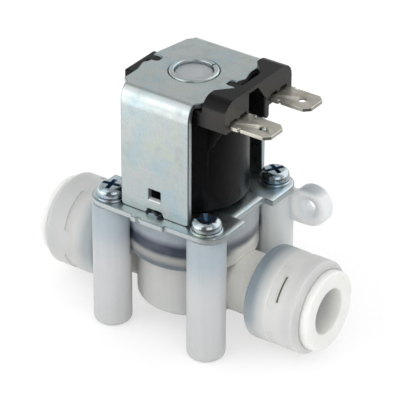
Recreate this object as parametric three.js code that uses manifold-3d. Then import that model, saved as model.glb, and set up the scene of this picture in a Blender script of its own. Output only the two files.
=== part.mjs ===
// Pilot-operated water solenoid valve: a translucent moulded body with two push-fit ports,
// a clamped diaphragm and guide tube, and a coil held in a bent steel yoke.
// Millimetres, +Z up. X runs along the ports, outlet at +X. The coil's axis is the Z axis,
// and Z = 0 is the plane of the four posts' lower ends.

import * as THREE from 'three';
import { mergeVertices } from 'three/addons/utils/BufferGeometryUtils.js';
import Module from 'manifold-3d';

const wasm = await Module();
wasm.setup();

// ---- driving dimensions ----

const roundSegments = 32; // outer round forms
const ringSegments = 24; // collets and necks
const smallSegments = 20; // posts, seals and inner round forms
const screwSegments = 16; // screws, washers, socket bores, seals and what is hidden
const holeSegments = 8; // screw holes
const slipGap = 0.1; // radial play of what slides
const seatGap = 0.15; // play of what is fitted and stays put
const cutOver = 1; // how far a cutting solid runs past the face that it cuts

const body = {
  postPitchX: 23.4,
  postPitchY: 24.2,
  postRadius: 4,
  postHeight: 28,
  postEdge: 0.7,
  bowlRadius: 13.4,
  bowlFloor: 3.2,
  bowlWall: 1.4,
  cupRadius: 11.55,
  cupBottomZ: 5.2,
  cupFillet: 1.3,
  cupWall: 1.95,
  cupFloor: 3.4,
  seatOuterRadius: 5,
  seatBoreRadius: 3.3,
  seatEdge: 0.9,
  seatBelowRim: 0.3,
};

const port = {
  axisZ: 11.75,
  neckRadius: 6.6,
  neckEndX: 18.9,
  waterwayRadius: 3.2,
  ductWall: 1.3,
};

const tube = {
  radius: 4.76, // the 3/8 inch tube that the ports take
  stopX: 20.4,
};

const socket = {
  outerRadius: 8.15,
  endX: 26.7,
  sealSeatX: 22.6,
  sealSeatRadius: 6.5,
  mouthX: 25.2,
  mouthRadius: 7.15,
  grooveFromX: 19.8,
  grooveToX: 22.1,
  grooveDepth: 0.95,
  latchFromX: 24.35,
  latchRadius: 9.7,
  latchRoot: 0.5, // how deep the latch pads are rooted in the socket's wall
};

const cap = {
  radius: 9.9,
  frontX: 31.6,
  frontRadius: 8.9,
  chamferLength: 1.2,
  backEdge: 0.6,
  lipX: 28,
  lipLength: 1,
  lipRadius: 6.4,
  mouthRadius: 8.5,
  windowFromX: 24.2,
  windowToX: 26.95,
  windowHalfAngle: 29,
};

const collet = {
  frontX: 33.3,
  headRadius: 8.4,
  headEdge: 0.4,
  headBackWeb: 1, // the slits stop this far short of the head
  boreEdge: 0.35,
  barrelRadius: 6.1,
  tipRadius: 6.85,
  tipBevel: 0.5,
  tipLength: 0.8,
  lipPlay: 0.3, // between the barbs and the cap's lip
  travel: 1.2,
  slitWidth: 0.9,
  slitTurn: 9, // degrees off the upright
};

const gripRing = {
  fromTip: 0.15,
  thickness: 0.5,
  outerRadius: 5.65,
  innerRadius: 4.72,
  teeth: 5,
  toothGap: 0.5,
  toothDepth: 0.5,
};

const tubeSeal = { length: 1.9, squeeze: 0.05 };

const ear = {
  centreX: 19.9,
  belowPlate: 2.5, // its centre below the base plate
  radius: 4.25,
  holeRadius: 1.6,
  recessRadius: 2.6,
  recessDepth: 0.8,
  frontY: 11.9,
  thickness: 3.3,
  webDrop: 0.7, // the web's top below the base plate
  plateRoom: 0.9,
};

const plate = {
  thickness: 1.2,
  halfX: 16.2,
  halfY: 15.7,
  cornerRadius: 4.6,
  sideNotchDepth: 2.4,
  sideNotchHalf: 4.8,
  lipHalf: 4,
  lipReach: 0.7,
  lipNickIn: 1.3, // the nick's centre from the lip's end
  lipNickRadius: 0.55,
  tongueHalf: 1.2,
  tongueRise: 0.85,
  tongueRoot: 0.5,
  tongueReach: 0.9, // past the yoke's outer face
  screwPlay: 0.25,
};

const yoke = {
  thickness: 1.2,
  width: 16.4,
  sidePlay: 0.7, // between the legs and the terminal housing
  height: 26.9, // above the base plate
  bendRadius: 2.6,
  cornerRadius: 0.8,
  slotHalf: 1.4,
  slotHeight: 1.8,
  slotZ: 4.8, // slot centre above the base plate
  notchHeight: 1.1,
  notchTopHalf: 1.6,
  notchFootHalf: 2.2,
  crownHalf: 10.7,
  crownShoulderHalf: 9.1,
  crownShoulderY: 10.3,
  crownFlatY: 2,
  keySlotHalf: 1.1,
  keySlotInnerX: 8.2,
  keySlotCorner: 0.45,
  keyDrop: 0.3, // the cover's keys end this far below the yoke's top
};

const coil = {
  coverRadius: 11.3,
  bottomGap: 0.8, // coil above the base plate
  coverWall: 1.4,
  flangeThickness: 3.2,
  bobbinRadius: 5.25,
  bobbinWall: 0.8,
  bobbinFlange: 1,
  endWall: 1.2,
  lowerEdge: 0.5,
  upperEdge: 0.3,
  tabX: 13.8,
  tabHalf: 5,
  tabDrop: 0.4,
  tabThickness: 2.5,
  keySink: 0.5, // how deep the keys are rooted in the cover
};

const housing = {
  frontX: 15.5,
  halfY: 11.6,
  topRise: 1.95, // above the yoke's top face
  endRadius: 3,
  endBackX: 10,
  endInnerY: 7.4,
  barBackX: 13.4,
  barHalfY: 3.6,
  gapNearY: -3.5,
  gapFarY: 2.4,
  gapRoof: 0.8,
  barrierDrop: 2.6,
  barrierWall: 1.2,
  braceReachY: 2.7,
  braceReachZ: 3.6,
  finThickness: 0.9,
  finHeight: 9.6,
  finFootX: 7.6,
  finTopX: 13.6,
  bendRoom: 0.9, // chamfer of its shoulders under the yoke's bends
  slitHeight: 0.45, // the slits over the blades' roots
  slitRib: 1.1, // the rib between them
};

const blade = {
  width: 6.3,
  thickness: 0.8,
  pitch: 14.04,
  tipX: 24.5,
  tabLength: 6.5,
  tipChamfer: 1.2,
  shoulderExtra: 0.2,
  notchLength: 0.4,
  notchDepth: 0.35,
  rootHalf: 2.7,
  rootX: 13,
  holeRadius: 0.8,
  holeFromTip: 3.4,
  underHousingTop: 5.3, // blade's middle below the housing's top
};

const screw = {
  headRadius: 3,
  headHeight: 2.2,
  headEdge: 0.25,
  domeRadius: 1.4,
  shankRadius: 1.45,
  length: 10,
  holeExtra: 0.12,
  crossWidth: 0.95,
  crossHalf: 1.9,
  crossDepth: 1.3,
  crossTurn: 20,
  pointLength: 1,
  endRoom: 0.5, // the hole in the post past the screw's end
};

const washer = { radius: 3.3, thickness: 0.55, play: 0.2 };

const guide = {
  radius: 3.9,
  wall: 0.7,
  topBelowYoke: 0.4,
  topWall: 1.1,
  flangeRadius: 11.85,
  chamberRadius: 9.4,
  chamberHeight: 2.65,
  roofThickness: 2.8,
};

const fluxSleeve = {
  wall: 1.1,
  upperLength: 9,
  lowerLength: 7.5,
  seam: 0.35,
  seamTurn: 62,
  proud: 0.3,
  rolledEdge: 0.38,
  plainEdge: 0.2,
};

const plunger = {
  length: 26.4,
  edge: 0.4,
  sealRadius: 2.1,
  sealDepth: 1.8,
  sealProud: 0.75,
  pocketRadius: 2.3,
  pocketDepth: 6,
};

const spring = { radius: 1.75, wireRadius: 0.24, turns: 6, stepsPerTurn: 8 };

const diaphragm = {
  rimHeight: 1.85,
  rimInner: 9.8,
  webRise: 0.3,
  webThickness: 0.7,
  rollHeight: 0.55,
  padRadius: 5.3,
  padHeight: 1.05,
  padSlope: 0.7,
  holeRadius: 1.7,
};

const insert = {
  hubDepth: 1.8,
  discRadius: 4.6,
  discHeight: 0.85,
  nozzleHeight: 1.35,
  nozzleRadius: 1.25,
  nozzleFlare: 0.4,
  pilotRadius: 0.4,
};

// ---- heights that follow from them ----

const postX = body.postPitchX / 2;
const postY = body.postPitchY / 2;
const plateBottomZ = body.postHeight;
const plateTopZ = plateBottomZ + plate.thickness;
const legInnerY = housing.halfY + yoke.sidePlay;
const legOuterY = legInnerY + yoke.thickness;
const yokeTopZ = plateTopZ + yoke.height;
const yokeRoofZ = yokeTopZ - yoke.thickness;
const coverTopZ = yokeRoofZ - slipGap;
const coverBottomZ = plateTopZ + coil.bottomGap;
const housingTopZ = yokeTopZ + housing.topRise;
const bladeZ = housingTopZ - blade.underHousingTop;
const guideTopZ = yokeTopZ - guide.topBelowYoke;
const guideBore = guide.radius - guide.wall;
const sleeveInner = guide.radius + slipGap;
const sleeveOuter = sleeveInner + fluxSleeve.wall;
const tubeBore = tube.radius + slipGap;
const grooveRadius = socket.outerRadius - socket.grooveDepth;
const bowlInner = body.bowlRadius - body.bowlWall;
const chamberRoofZ = plateBottomZ - guide.roofThickness;
const diaphragmTopZ = chamberRoofZ - guide.chamberHeight;
const rimSeatZ = diaphragmTopZ - diaphragm.rimHeight;
const seatTopZ = rimSeatZ - body.seatBelowRim;
const bowlBottomZ = rimSeatZ - body.bowlFloor;
const chamberFloorZ = body.cupBottomZ + body.cupFloor;
const padBottomZ = seatTopZ + slipGap / 2;
const padTopZ = padBottomZ + diaphragm.padHeight;
const insertDiscZ = padTopZ + slipGap / 2;
const nozzleTopZ = insertDiscZ + insert.discHeight + insert.nozzleHeight;
const sealBottomZ = nozzleTopZ + slipGap / 2;
const plungerBottomZ = sealBottomZ + plunger.sealProud;
const plungerTopZ = plungerBottomZ + plunger.length;
const lipFrontX = cap.lipX + cap.lipLength;
const headBackX = lipFrontX + collet.travel + slipGap;
const colletTipX = cap.lipX - collet.lipPlay - collet.tipLength;
const toothGrooveX = colletTipX + gripRing.fromTip;
const earCentreZ = plateBottomZ - ear.belowPlate;

// ---- solids: three.js geometry in, manifold solid out ----

function solidOf(geometry) {
  const bare = new THREE.BufferGeometry();
  bare.setAttribute('position', geometry.getAttribute('position'));
  if (geometry.index) bare.setIndex(geometry.index);
  const merged = mergeVertices(bare, 1e-4);
  const corners = merged.index.array;
  const kept = [];
  for (let i = 0; i < corners.length; i += 3) {
    const [a, b, c] = [corners[i], corners[i + 1], corners[i + 2]];
    if (a !== b && b !== c && c !== a) kept.push(a, b, c);
  }
  const mesh = new wasm.Mesh({
    numProp: 3,
    vertProperties: new Float32Array(merged.getAttribute('position').array),
    triVerts: new Uint32Array(kept),
  });
  return new wasm.Manifold(mesh);
}

function geometryOf(solid) {
  const mesh = solid.getMesh();
  const geometry = new THREE.BufferGeometry();
  geometry.setAttribute('position', new THREE.BufferAttribute(new Float32Array(mesh.vertProperties), 3));
  geometry.setIndex(new THREE.BufferAttribute(new Uint32Array(mesh.triVerts), 1));
  geometry.computeVertexNormals();
  return geometry;
}

function signedArea(points) {
  let sum = 0;
  points.forEach((p, i) => {
    const q = points[(i + 1) % points.length];
    sum += p[0] * q[1] - q[0] * p[1];
  });
  return sum / 2;
}

// Revolves [radius, height] points about Z. A profile that doesn't start on the axis is closed on itself.
function revolveGeometry(profile, segments = roundSegments) {
  const ordered = signedArea(profile) > 0 ? profile : [...profile].reverse();
  const points = ordered.map(([r, z]) => new THREE.Vector2(r, z));
  const onAxis = profile.filter(([r]) => r === 0).length >= 2;
  if (onAxis) {
    const start = ordered.findIndex(([r], i) => r === 0 && ordered[(i + 1) % ordered.length][0] > 0);
    const turned = points.slice(start).concat(points.slice(0, start));
    return new THREE.LatheGeometry(turned, segments).rotateX(Math.PI / 2);
  }
  points.push(points[0].clone());
  return new THREE.LatheGeometry(points, segments).rotateX(Math.PI / 2);
}

const revolve = (profile, segments) => solidOf(revolveGeometry(profile, segments));

// The same revolved about X, from [x, radius] points.
function revolveX(profile, segments) {
  const turned = profile.map(([x, r]) => [r, x]);
  return solidOf(revolveGeometry(turned, segments).rotateY(Math.PI / 2));
}

const extrudeOptions = (depth, curveSegments) => ({ depth, bevelEnabled: false, curveSegments });

function extrudeZ(shape, fromZ, toZ, curveSegments = 8) {
  const geometry = new THREE.ExtrudeGeometry(shape, extrudeOptions(toZ - fromZ, curveSegments));
  return solidOf(geometry.translate(0, 0, fromZ));
}

// A shape drawn in (y, z), extruded along X.
function extrudeX(shape, fromX, toX, curveSegments = 8) {
  const turn = new THREE.Matrix4().makeBasis(
    new THREE.Vector3(0, 1, 0),
    new THREE.Vector3(0, 0, 1),
    new THREE.Vector3(1, 0, 0),
  );
  const geometry = new THREE.ExtrudeGeometry(shape, extrudeOptions(toX - fromX, curveSegments));
  return solidOf(geometry.applyMatrix4(turn).translate(fromX, 0, 0));
}

// A shape drawn in (x, z), extruded along Y.
function extrudeY(shape, fromY, toY, curveSegments = 8) {
  const geometry = new THREE.ExtrudeGeometry(shape, extrudeOptions(toY - fromY, curveSegments));
  return solidOf(geometry.rotateX(Math.PI / 2).translate(0, toY, 0));
}

function polygon(points) {
  return new THREE.Shape(points.map(([x, y]) => new THREE.Vector2(x, y)));
}

function block(x0, x1, y0, y1, z0, z1) {
  const geometry = new THREE.BoxGeometry(x1 - x0, y1 - y0, z1 - z0);
  return solidOf(geometry.translate((x0 + x1) / 2, (y0 + y1) / 2, (z0 + z1) / 2));
}

function rodZ(radius, x, y, fromZ, toZ, segments = smallSegments) {
  return revolve([[0, fromZ], [radius, fromZ], [radius, toZ], [0, toZ]], segments).translate([x, y, 0]);
}

const joined = (parts) => parts.reduce((sum, part) => sum.add(part));
const cutBy = (solid, tools) => tools.reduce((rest, tool) => rest.subtract(tool), solid);

function arcPoints(cx, cy, radius, fromDeg, toDeg, steps) {
  return Array.from({ length: steps + 1 }, (_, i) => {
    const a = THREE.MathUtils.degToRad(fromDeg + ((toDeg - fromDeg) * i) / steps);
    return [cx + radius * Math.cos(a), cy + radius * Math.sin(a)];
  });
}

const finish = {
  clearPlastic: { color: 0xe4e8ec, roughness: 0.35, metalness: 0 },
  whitePlastic: { color: 0xf6f5f1, roughness: 0.4, metalness: 0 },
  blackPlastic: { color: 0x141416, roughness: 0.35, metalness: 0 },
  rubber: { color: 0x202226, roughness: 0.8, metalness: 0 },
  zincSteel: { color: 0xc3cbd1, roughness: 0.35, metalness: 1 },
  plainSteel: { color: 0xa9abad, roughness: 0.3, metalness: 1 },
  tinnedBrass: { color: 0xb3ada0, roughness: 0.35, metalness: 1 },
  copper: { color: 0xb8683a, roughness: 0.35, metalness: 1 },
};

function piece(name, solid, look) {
  const mesh = new THREE.Mesh(geometryOf(solid), new THREE.MeshStandardMaterial(finish[look]));
  mesh.name = name;
  return mesh;
}

// The four posts' centres: near is -Y, outlet side is +X.
const corners = [
  { name: 'near_outlet', x: postX, y: -postY },
  { name: 'near_inlet', x: -postX, y: -postY },
  { name: 'far_outlet', x: postX, y: postY },
  { name: 'far_inlet', x: -postX, y: postY },
];

// ---- moulded body ----

// One port's outside: neck, then the socket with its seal groove and four latch pads.
function socketForm() {
  const neckProfile = [[0, 0], [0, port.neckRadius], [port.neckEndX, port.neckRadius], [port.neckEndX, 0]];
  const neck = revolveX(neckProfile, ringSegments);
  const barrel = revolveX([
    [port.neckEndX - cutOver, 0],
    [port.neckEndX - cutOver, port.neckRadius],
    [port.neckEndX, port.neckRadius],
    [port.neckEndX, socket.outerRadius],
    [socket.grooveFromX, socket.outerRadius],
    [socket.grooveFromX, grooveRadius],
    [socket.grooveToX, grooveRadius],
    [socket.grooveToX, socket.outerRadius],
    [socket.endX, socket.outerRadius],
    [socket.endX, 0],
  ], screwSegments);
  const ring = revolveX([
    [socket.latchFromX, socket.outerRadius - socket.latchRoot],
    [socket.latchFromX, socket.latchRadius],
    [socket.endX, socket.latchRadius],
    [socket.endX, socket.outerRadius - socket.latchRoot],
  ], roundSegments);
  const pads = windowBlocks(socket.latchFromX - cutOver, socket.endX + cutOver, latchHalfWidth);
  return joined([neck, barrel, ring.intersect(pads)]);
}

const windowHalfWidth = cap.radius * Math.sin(THREE.MathUtils.degToRad(cap.windowHalfAngle));
const latchHalfWidth = windowHalfWidth - seatGap;

// Four radial blocks at 45 degrees to the vertical, which place the windows and the latch pads.
function windowBlocks(fromX, toX, halfWidth) {
  const one = block(fromX, toX, -halfWidth, halfWidth, 0, cap.radius + cutOver);
  return joined([1, 3, 5, 7].map((eighth) => one.rotate([eighth * 45, 0, 0])));
}

// One port's inside: waterway, tube stop, tube seat, seal seat and the mouth for the collet's tip.
function socketBore(fromX) {
  return revolveX([
    [fromX, 0],
    [fromX, port.waterwayRadius],
    [tube.stopX, port.waterwayRadius],
    [tube.stopX, tubeBore],
    [socket.sealSeatX, tubeBore],
    [socket.sealSeatX, socket.sealSeatRadius],
    [socket.mouthX, socket.sealSeatRadius],
    [socket.mouthX, socket.mouthRadius],
    [socket.endX + cutOver, socket.mouthRadius],
    [socket.endX + cutOver, 0],
  ], screwSegments);
}

function earForm() {
  const backY = ear.frontY + ear.thickness;
  const circle = (radius) => new THREE.Shape().absarc(ear.centreX, earCentreZ, radius, 0, 2 * Math.PI, false);
  const webTopZ = plateBottomZ - ear.webDrop;
  const web = block(postX, ear.centreX, ear.frontY, backY, earCentreZ - ear.radius, webTopZ);
  const lug = extrudeY(circle(ear.radius), ear.frontY, backY, smallSegments).add(web);
  const cutFromY = ear.frontY - cutOver;
  const hole = extrudeY(circle(ear.holeRadius), cutFromY, backY + cutOver, holeSegments);
  const recess = extrudeY(circle(ear.recessRadius), cutFromY, ear.frontY + ear.recessDepth, holeSegments);
  const plateRoomX = plate.halfX + ear.plateRoom;
  const plateRoom = block(0, plateRoomX, cutFromY, backY + cutOver, webTopZ, yokeTopZ);
  return cutBy(lug, [hole, recess, plateRoom]);
}

function valveBody() {
  const { cupRadius, cupBottomZ, cupFillet } = body;
  const shell = revolve([
    [0, cupBottomZ],
    ...arcPoints(cupRadius - cupFillet, cupBottomZ + cupFillet, cupFillet, -90, 0, 3),
    [cupRadius, bowlBottomZ],
    [body.bowlRadius, bowlBottomZ],
    [body.bowlRadius, body.postHeight],
    [0, body.postHeight],
  ]);
  const post = revolve([
    [0, 0],
    [body.postRadius - body.postEdge, 0],
    [body.postRadius, body.postEdge],
    [body.postRadius, body.postHeight],
    [0, body.postHeight],
  ], smallSegments);
  const posts = corners.map(({ x, y }) => post.translate([x, y, 0]));
  const outlet = socketForm().translate([0, 0, port.axisZ]);
  const inlet = outlet.rotate([0, 0, 180]);
  const outside = joined([shell, ...posts, outlet, inlet, earForm()]);

  const bowl = revolve([
    [0, rimSeatZ],
    [bowlInner, rimSeatZ],
    [bowlInner, body.postHeight + cutOver],
    [0, body.postHeight + cutOver],
  ]);
  const chamberOuter = cupRadius - body.cupWall;
  const chamber = revolve([
    [body.seatOuterRadius, chamberFloorZ],
    [chamberOuter, chamberFloorZ],
    [chamberOuter, rimSeatZ + cutOver],
    [0, rimSeatZ + cutOver],
    [0, seatTopZ],
    [body.seatOuterRadius - body.seatEdge, seatTopZ],
    [body.seatOuterRadius, seatTopZ - body.seatEdge],
  ], smallSegments);
  const ductRadius = port.waterwayRadius + port.ductWall;
  const ductSection = [[0, 0], [0, ductRadius], [cupRadius, ductRadius], [cupRadius, 0]];
  const duct = revolveX(ductSection, screwSegments).translate([0, 0, port.axisZ]);
  const seatBore = rodZ(body.seatBoreRadius, 0, 0, chamberFloorZ, seatTopZ + cutOver, screwSegments);
  const outletBore = socketBore(0).translate([0, 0, port.axisZ]);
  const inletStartX = body.seatOuterRadius + cutOver;
  const inletBore = socketBore(inletStartX).translate([0, 0, port.axisZ]).rotate([0, 0, 180]);
  const postHoleRadius = screw.shankRadius + screw.holeExtra;
  const screwHoleZ = body.postHeight - screw.length - screw.endRoom;
  const screwHoles = corners.map(({ x, y }) =>
    rodZ(postHoleRadius, x, y, screwHoleZ, body.postHeight + cutOver, holeSegments));
  return cutBy(outside, [bowl, chamber.subtract(duct), seatBore, outletBore, inletBore, ...screwHoles]);
}

// ---- push-fit ports: everything along +X from the body's middle ----

function capForm() {
  const shell = revolveX([
    [port.neckEndX, socket.outerRadius + seatGap],
    [port.neckEndX, cap.radius - cap.backEdge],
    [port.neckEndX + cap.backEdge, cap.radius],
    [cap.frontX - cap.chamferLength, cap.radius],
    [cap.frontX, cap.frontRadius],
    [cap.frontX, cap.mouthRadius],
    [lipFrontX, cap.mouthRadius],
    [lipFrontX, cap.lipRadius],
    [cap.lipX, cap.lipRadius],
    [cap.lipX, socket.outerRadius + seatGap],
  ], roundSegments);
  return shell.subtract(windowBlocks(cap.windowFromX, cap.windowToX, windowHalfWidth));
}

function colletForm() {
  const toothGrooveRadius = gripRing.outerRadius + slipGap;
  const toothGrooveEndX = toothGrooveX + gripRing.thickness + 2 * slipGap;
  const sleeve = revolveX([
    [colletTipX, tubeBore],
    [colletTipX, collet.tipRadius - collet.tipBevel],
    [colletTipX + collet.tipLength / 2, collet.tipRadius],
    [colletTipX + collet.tipLength, collet.tipRadius],
    [colletTipX + collet.tipLength, collet.barrelRadius],
    [headBackX, collet.barrelRadius],
    [headBackX, collet.headRadius],
    [collet.frontX - collet.headEdge, collet.headRadius],
    [collet.frontX, collet.headRadius - collet.headEdge],
    [collet.frontX, tubeBore + collet.boreEdge],
    [collet.frontX - collet.boreEdge, tubeBore],
    [toothGrooveEndX, tubeBore],
    [toothGrooveEndX, toothGrooveRadius],
    [toothGrooveX, toothGrooveRadius],
    [toothGrooveX, tubeBore],
  ], ringSegments);
  const slitHalf = collet.slitWidth / 2;
  const slitEndX = headBackX - collet.headBackWeb;
  const slit = block(colletTipX - cutOver, slitEndX, -cap.radius, cap.radius, -slitHalf, slitHalf);
  return cutBy(sleeve, [0, 90].map((turn) => slit.rotate([turn + collet.slitTurn, 0, 0])));
}

// The steel ring's teeth lie in the collet's tip and bite on the tube.
function gripRingForm() {
  const fromX = toothGrooveX + slipGap;
  const toX = fromX + gripRing.thickness;
  const { innerRadius, outerRadius, toothDepth } = gripRing;
  const section = [[fromX, innerRadius], [fromX, outerRadius], [toX, outerRadius], [toX, innerRadius]];
  const halfGap = gripRing.toothGap / 2;
  const gap = block(fromX - cutOver, toX + cutOver, -halfGap, halfGap, 0, innerRadius + toothDepth);
  const step = 360 / gripRing.teeth;
  const gaps = Array.from({ length: gripRing.teeth }, (_, i) => gap.rotate([step * (i + 0.5), 0, 0]));
  return cutBy(revolveX(section, smallSegments), gaps);
}

// A rubber ring about X, with rounded corners.
function sealRing(fromX, toX, innerRadius, outerRadius) {
  const round = Math.min(toX - fromX, outerRadius - innerRadius) * 0.3;
  return revolveX([
    [fromX, innerRadius + round],
    [fromX, outerRadius - round],
    [fromX + round, outerRadius],
    [toX - round, outerRadius],
    [toX, outerRadius - round],
    [toX, innerRadius + round],
    [toX - round, innerRadius],
    [fromX + round, innerRadius],
  ], screwSegments);
}

function portPieces(side) {
  const group = new THREE.Group();
  const capSeal = sealRing(
    socket.grooveFromX + seatGap,
    socket.grooveToX - seatGap,
    grooveRadius + slipGap,
    socket.outerRadius + seatGap / 3,
  );
  const tubeSealX = socket.sealSeatX + slipGap;
  const tubeSealRing = sealRing(
    tubeSealX,
    tubeSealX + tubeSeal.length,
    tube.radius - tubeSeal.squeeze,
    socket.sealSeatRadius - slipGap,
  );
  group.add(
    piece(`${side}_cap`, capForm(), 'clearPlastic'),
    piece(`${side}_cap_seal`, capSeal, 'rubber'),
    piece(`${side}_tube_seal`, tubeSealRing, 'rubber'),
    piece(`${side}_collet`, colletForm(), 'whitePlastic'),
    piece(`${side}_grip_ring`, gripRingForm(), 'plainSteel'),
  );
  group.position.z = port.axisZ;
  return group;
}

// ---- diaphragm, pilot and plunger ----

function guideTube() {
  return revolve([
    [0, guideTopZ],
    [guide.radius, guideTopZ],
    [guide.radius, plateBottomZ],
    [guide.flangeRadius, plateBottomZ],
    [guide.flangeRadius, diaphragmTopZ],
    [guide.chamberRadius, diaphragmTopZ],
    [guide.chamberRadius, chamberRoofZ],
    [guideBore, chamberRoofZ],
    [guideBore, guideTopZ - guide.topWall],
    [0, guideTopZ - guide.topWall],
  ]);
}

function diaphragmForm() {
  const { rimInner, webThickness, rollHeight, padRadius, padSlope, holeRadius } = diaphragm;
  const rimOuter = bowlInner - seatGap;
  const webZ = rimSeatZ + diaphragm.webRise;
  const rollRadius = (padRadius + rimInner) / 2;
  return revolve([
    [holeRadius, padBottomZ],
    [padRadius, padBottomZ],
    [padRadius + padSlope, webZ + rollHeight / 2],
    [rollRadius, webZ + rollHeight],
    [rimInner, webZ],
    [rimInner, rimSeatZ],
    [rimOuter, rimSeatZ],
    [rimOuter, diaphragmTopZ],
    [rimInner, diaphragmTopZ],
    [rimInner - padSlope, webZ + webThickness],
    [rollRadius, webZ + rollHeight + webThickness],
    [padRadius, padTopZ],
    [holeRadius, padTopZ],
  ], smallSegments);
}

function insertForm() {
  const hubBottomZ = padBottomZ - insert.hubDepth;
  const hubRadius = diaphragm.holeRadius - slipGap;
  return revolve([
    [insert.pilotRadius, hubBottomZ],
    [hubRadius, hubBottomZ],
    [hubRadius, insertDiscZ],
    [insert.discRadius, insertDiscZ],
    [insert.discRadius, insertDiscZ + insert.discHeight],
    [insert.nozzleRadius + insert.nozzleFlare, insertDiscZ + insert.discHeight],
    [insert.nozzleRadius, nozzleTopZ],
    [insert.pilotRadius, nozzleTopZ],
  ], screwSegments);
}

function plungerForm() {
  const radius = guideBore - slipGap;
  return revolve([
    [0, plungerBottomZ + plunger.sealDepth],
    [plunger.sealRadius + slipGap, plungerBottomZ + plunger.sealDepth],
    [plunger.sealRadius + slipGap, plungerBottomZ],
    [radius - plunger.edge, plungerBottomZ],
    [radius, plungerBottomZ + plunger.edge],
    [radius, plungerTopZ - plunger.edge],
    [radius - plunger.edge, plungerTopZ],
    [plunger.pocketRadius, plungerTopZ],
    [plunger.pocketRadius, plungerTopZ - plunger.pocketDepth],
    [0, plungerTopZ - plunger.pocketDepth],
  ], smallSegments);
}

const plungerSeal = () =>
  rodZ(plunger.sealRadius, 0, 0, sealBottomZ, plungerBottomZ + plunger.sealDepth - slipGap, screwSegments);

class SpringPath extends THREE.Curve {
  constructor(bottomZ, topZ) {
    super();
    this.bottomZ = bottomZ;
    this.topZ = topZ;
  }

  getPoint(t, target = new THREE.Vector3()) {
    const angle = 2 * Math.PI * spring.turns * t;
    const z = THREE.MathUtils.lerp(this.bottomZ, this.topZ, t);
    return target.set(spring.radius * Math.cos(angle), spring.radius * Math.sin(angle), z);
  }
}

function springForm() {
  const inset = spring.wireRadius + slipGap;
  const path = new SpringPath(plungerTopZ - plunger.pocketDepth + inset, guideTopZ - guide.topWall - inset);
  const wire = new THREE.Shape().absarc(0, 0, spring.wireRadius, 0, 2 * Math.PI, false);
  const steps = spring.turns * spring.stepsPerTurn;
  return solidOf(new THREE.ExtrudeGeometry(wire, { steps, curveSegments: 3, extrudePath: path }));
}

// ---- coil ----

// The cover's two keys, or with no play the yoke's slots that they sit in.
function keyPair(play, outerX, fromZ, toZ) {
  const half = yoke.keySlotHalf - play;
  const innerX = yoke.keySlotInnerX + play;
  const corner = yoke.keySlotCorner;
  const shape = polygon([
    [outerX, -half],
    [outerX, half],
    [innerX + corner, half],
    [innerX, half - corner],
    [innerX, -half + corner],
    [innerX + corner, -half],
  ]);
  const key = extrudeZ(shape, fromZ, toZ);
  return [key, key.rotate([0, 0, 180])];
}

function coverShell() {
  const outer = coil.coverRadius;
  const inner = outer - coil.coverWall;
  const boreRadius = coil.bobbinRadius + coil.bobbinWall + seatGap;
  return revolve([
    [boreRadius, coverBottomZ],
    [outer - coil.lowerEdge, coverBottomZ],
    [outer, coverBottomZ + coil.lowerEdge],
    [outer, coverTopZ - coil.upperEdge],
    [outer - coil.upperEdge, coverTopZ],
    [boreRadius, coverTopZ],
    [boreRadius, coverTopZ - coil.endWall],
    [inner, coverTopZ - coil.endWall],
    [inner, coverBottomZ + coil.endWall],
    [boreRadius, coverBottomZ + coil.endWall],
  ]);
}

const housingFootZ = coverTopZ - coil.flangeThickness;

// The terminal housing seen along X: an arch with rounded ends, a gap between the terminals,
// a barrier wall on each side of the gap, and a brace in its far upper corner.
function housingFront() {
  const { halfY, endRadius, gapNearY, gapFarY, barrierWall, braceReachY, braceReachZ } = housing;
  const barrierZ = housingFootZ - housing.barrierDrop;
  const gapRoofZ = housingTopZ - housing.gapRoof;
  return polygon([
    [-halfY, housingFootZ],
    [gapNearY - barrierWall, housingFootZ],
    [gapNearY - barrierWall, barrierZ],
    [gapNearY, barrierZ],
    [gapNearY, gapRoofZ],
    [gapFarY - braceReachY, gapRoofZ],
    [gapFarY, gapRoofZ - braceReachZ],
    ...arcPoints(gapFarY + barrierWall / 2, barrierZ + barrierWall / 2, barrierWall / 2, 180, 360, 4),
    [gapFarY + barrierWall, housingFootZ],
    [halfY, housingFootZ],
    ...arcPoints(halfY - endRadius, housingTopZ - endRadius, endRadius, 0, 90, 6),
    ...arcPoints(-halfY + endRadius, housingTopZ - endRadius, endRadius, 90, 180, 6),
  ]);
}

function housingPlan() {
  const { halfY, endBackX, endInnerY, barBackX, barHalfY } = housing;
  const frontX = housing.frontX + cutOver;
  return polygon([
    [endBackX, -halfY - cutOver],
    [frontX, -halfY - cutOver],
    [frontX, halfY + cutOver],
    [endBackX, halfY + cutOver],
    [endBackX, endInnerY],
    [barBackX, barHalfY],
    [barBackX, -barHalfY],
    [endBackX, -endInnerY],
  ]);
}

// The housing's flange where it passes under the yoke, seen along X.
function housingShoulders(lowZ) {
  const { halfY, bendRoom } = housing;
  return polygon([
    [-halfY, lowZ],
    [halfY, lowZ],
    [halfY, coverTopZ - bendRoom],
    [halfY - bendRoom, coverTopZ],
    [-halfY + bendRoom, coverTopZ],
    [-halfY, coverTopZ - bendRoom],
  ]);
}

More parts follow.
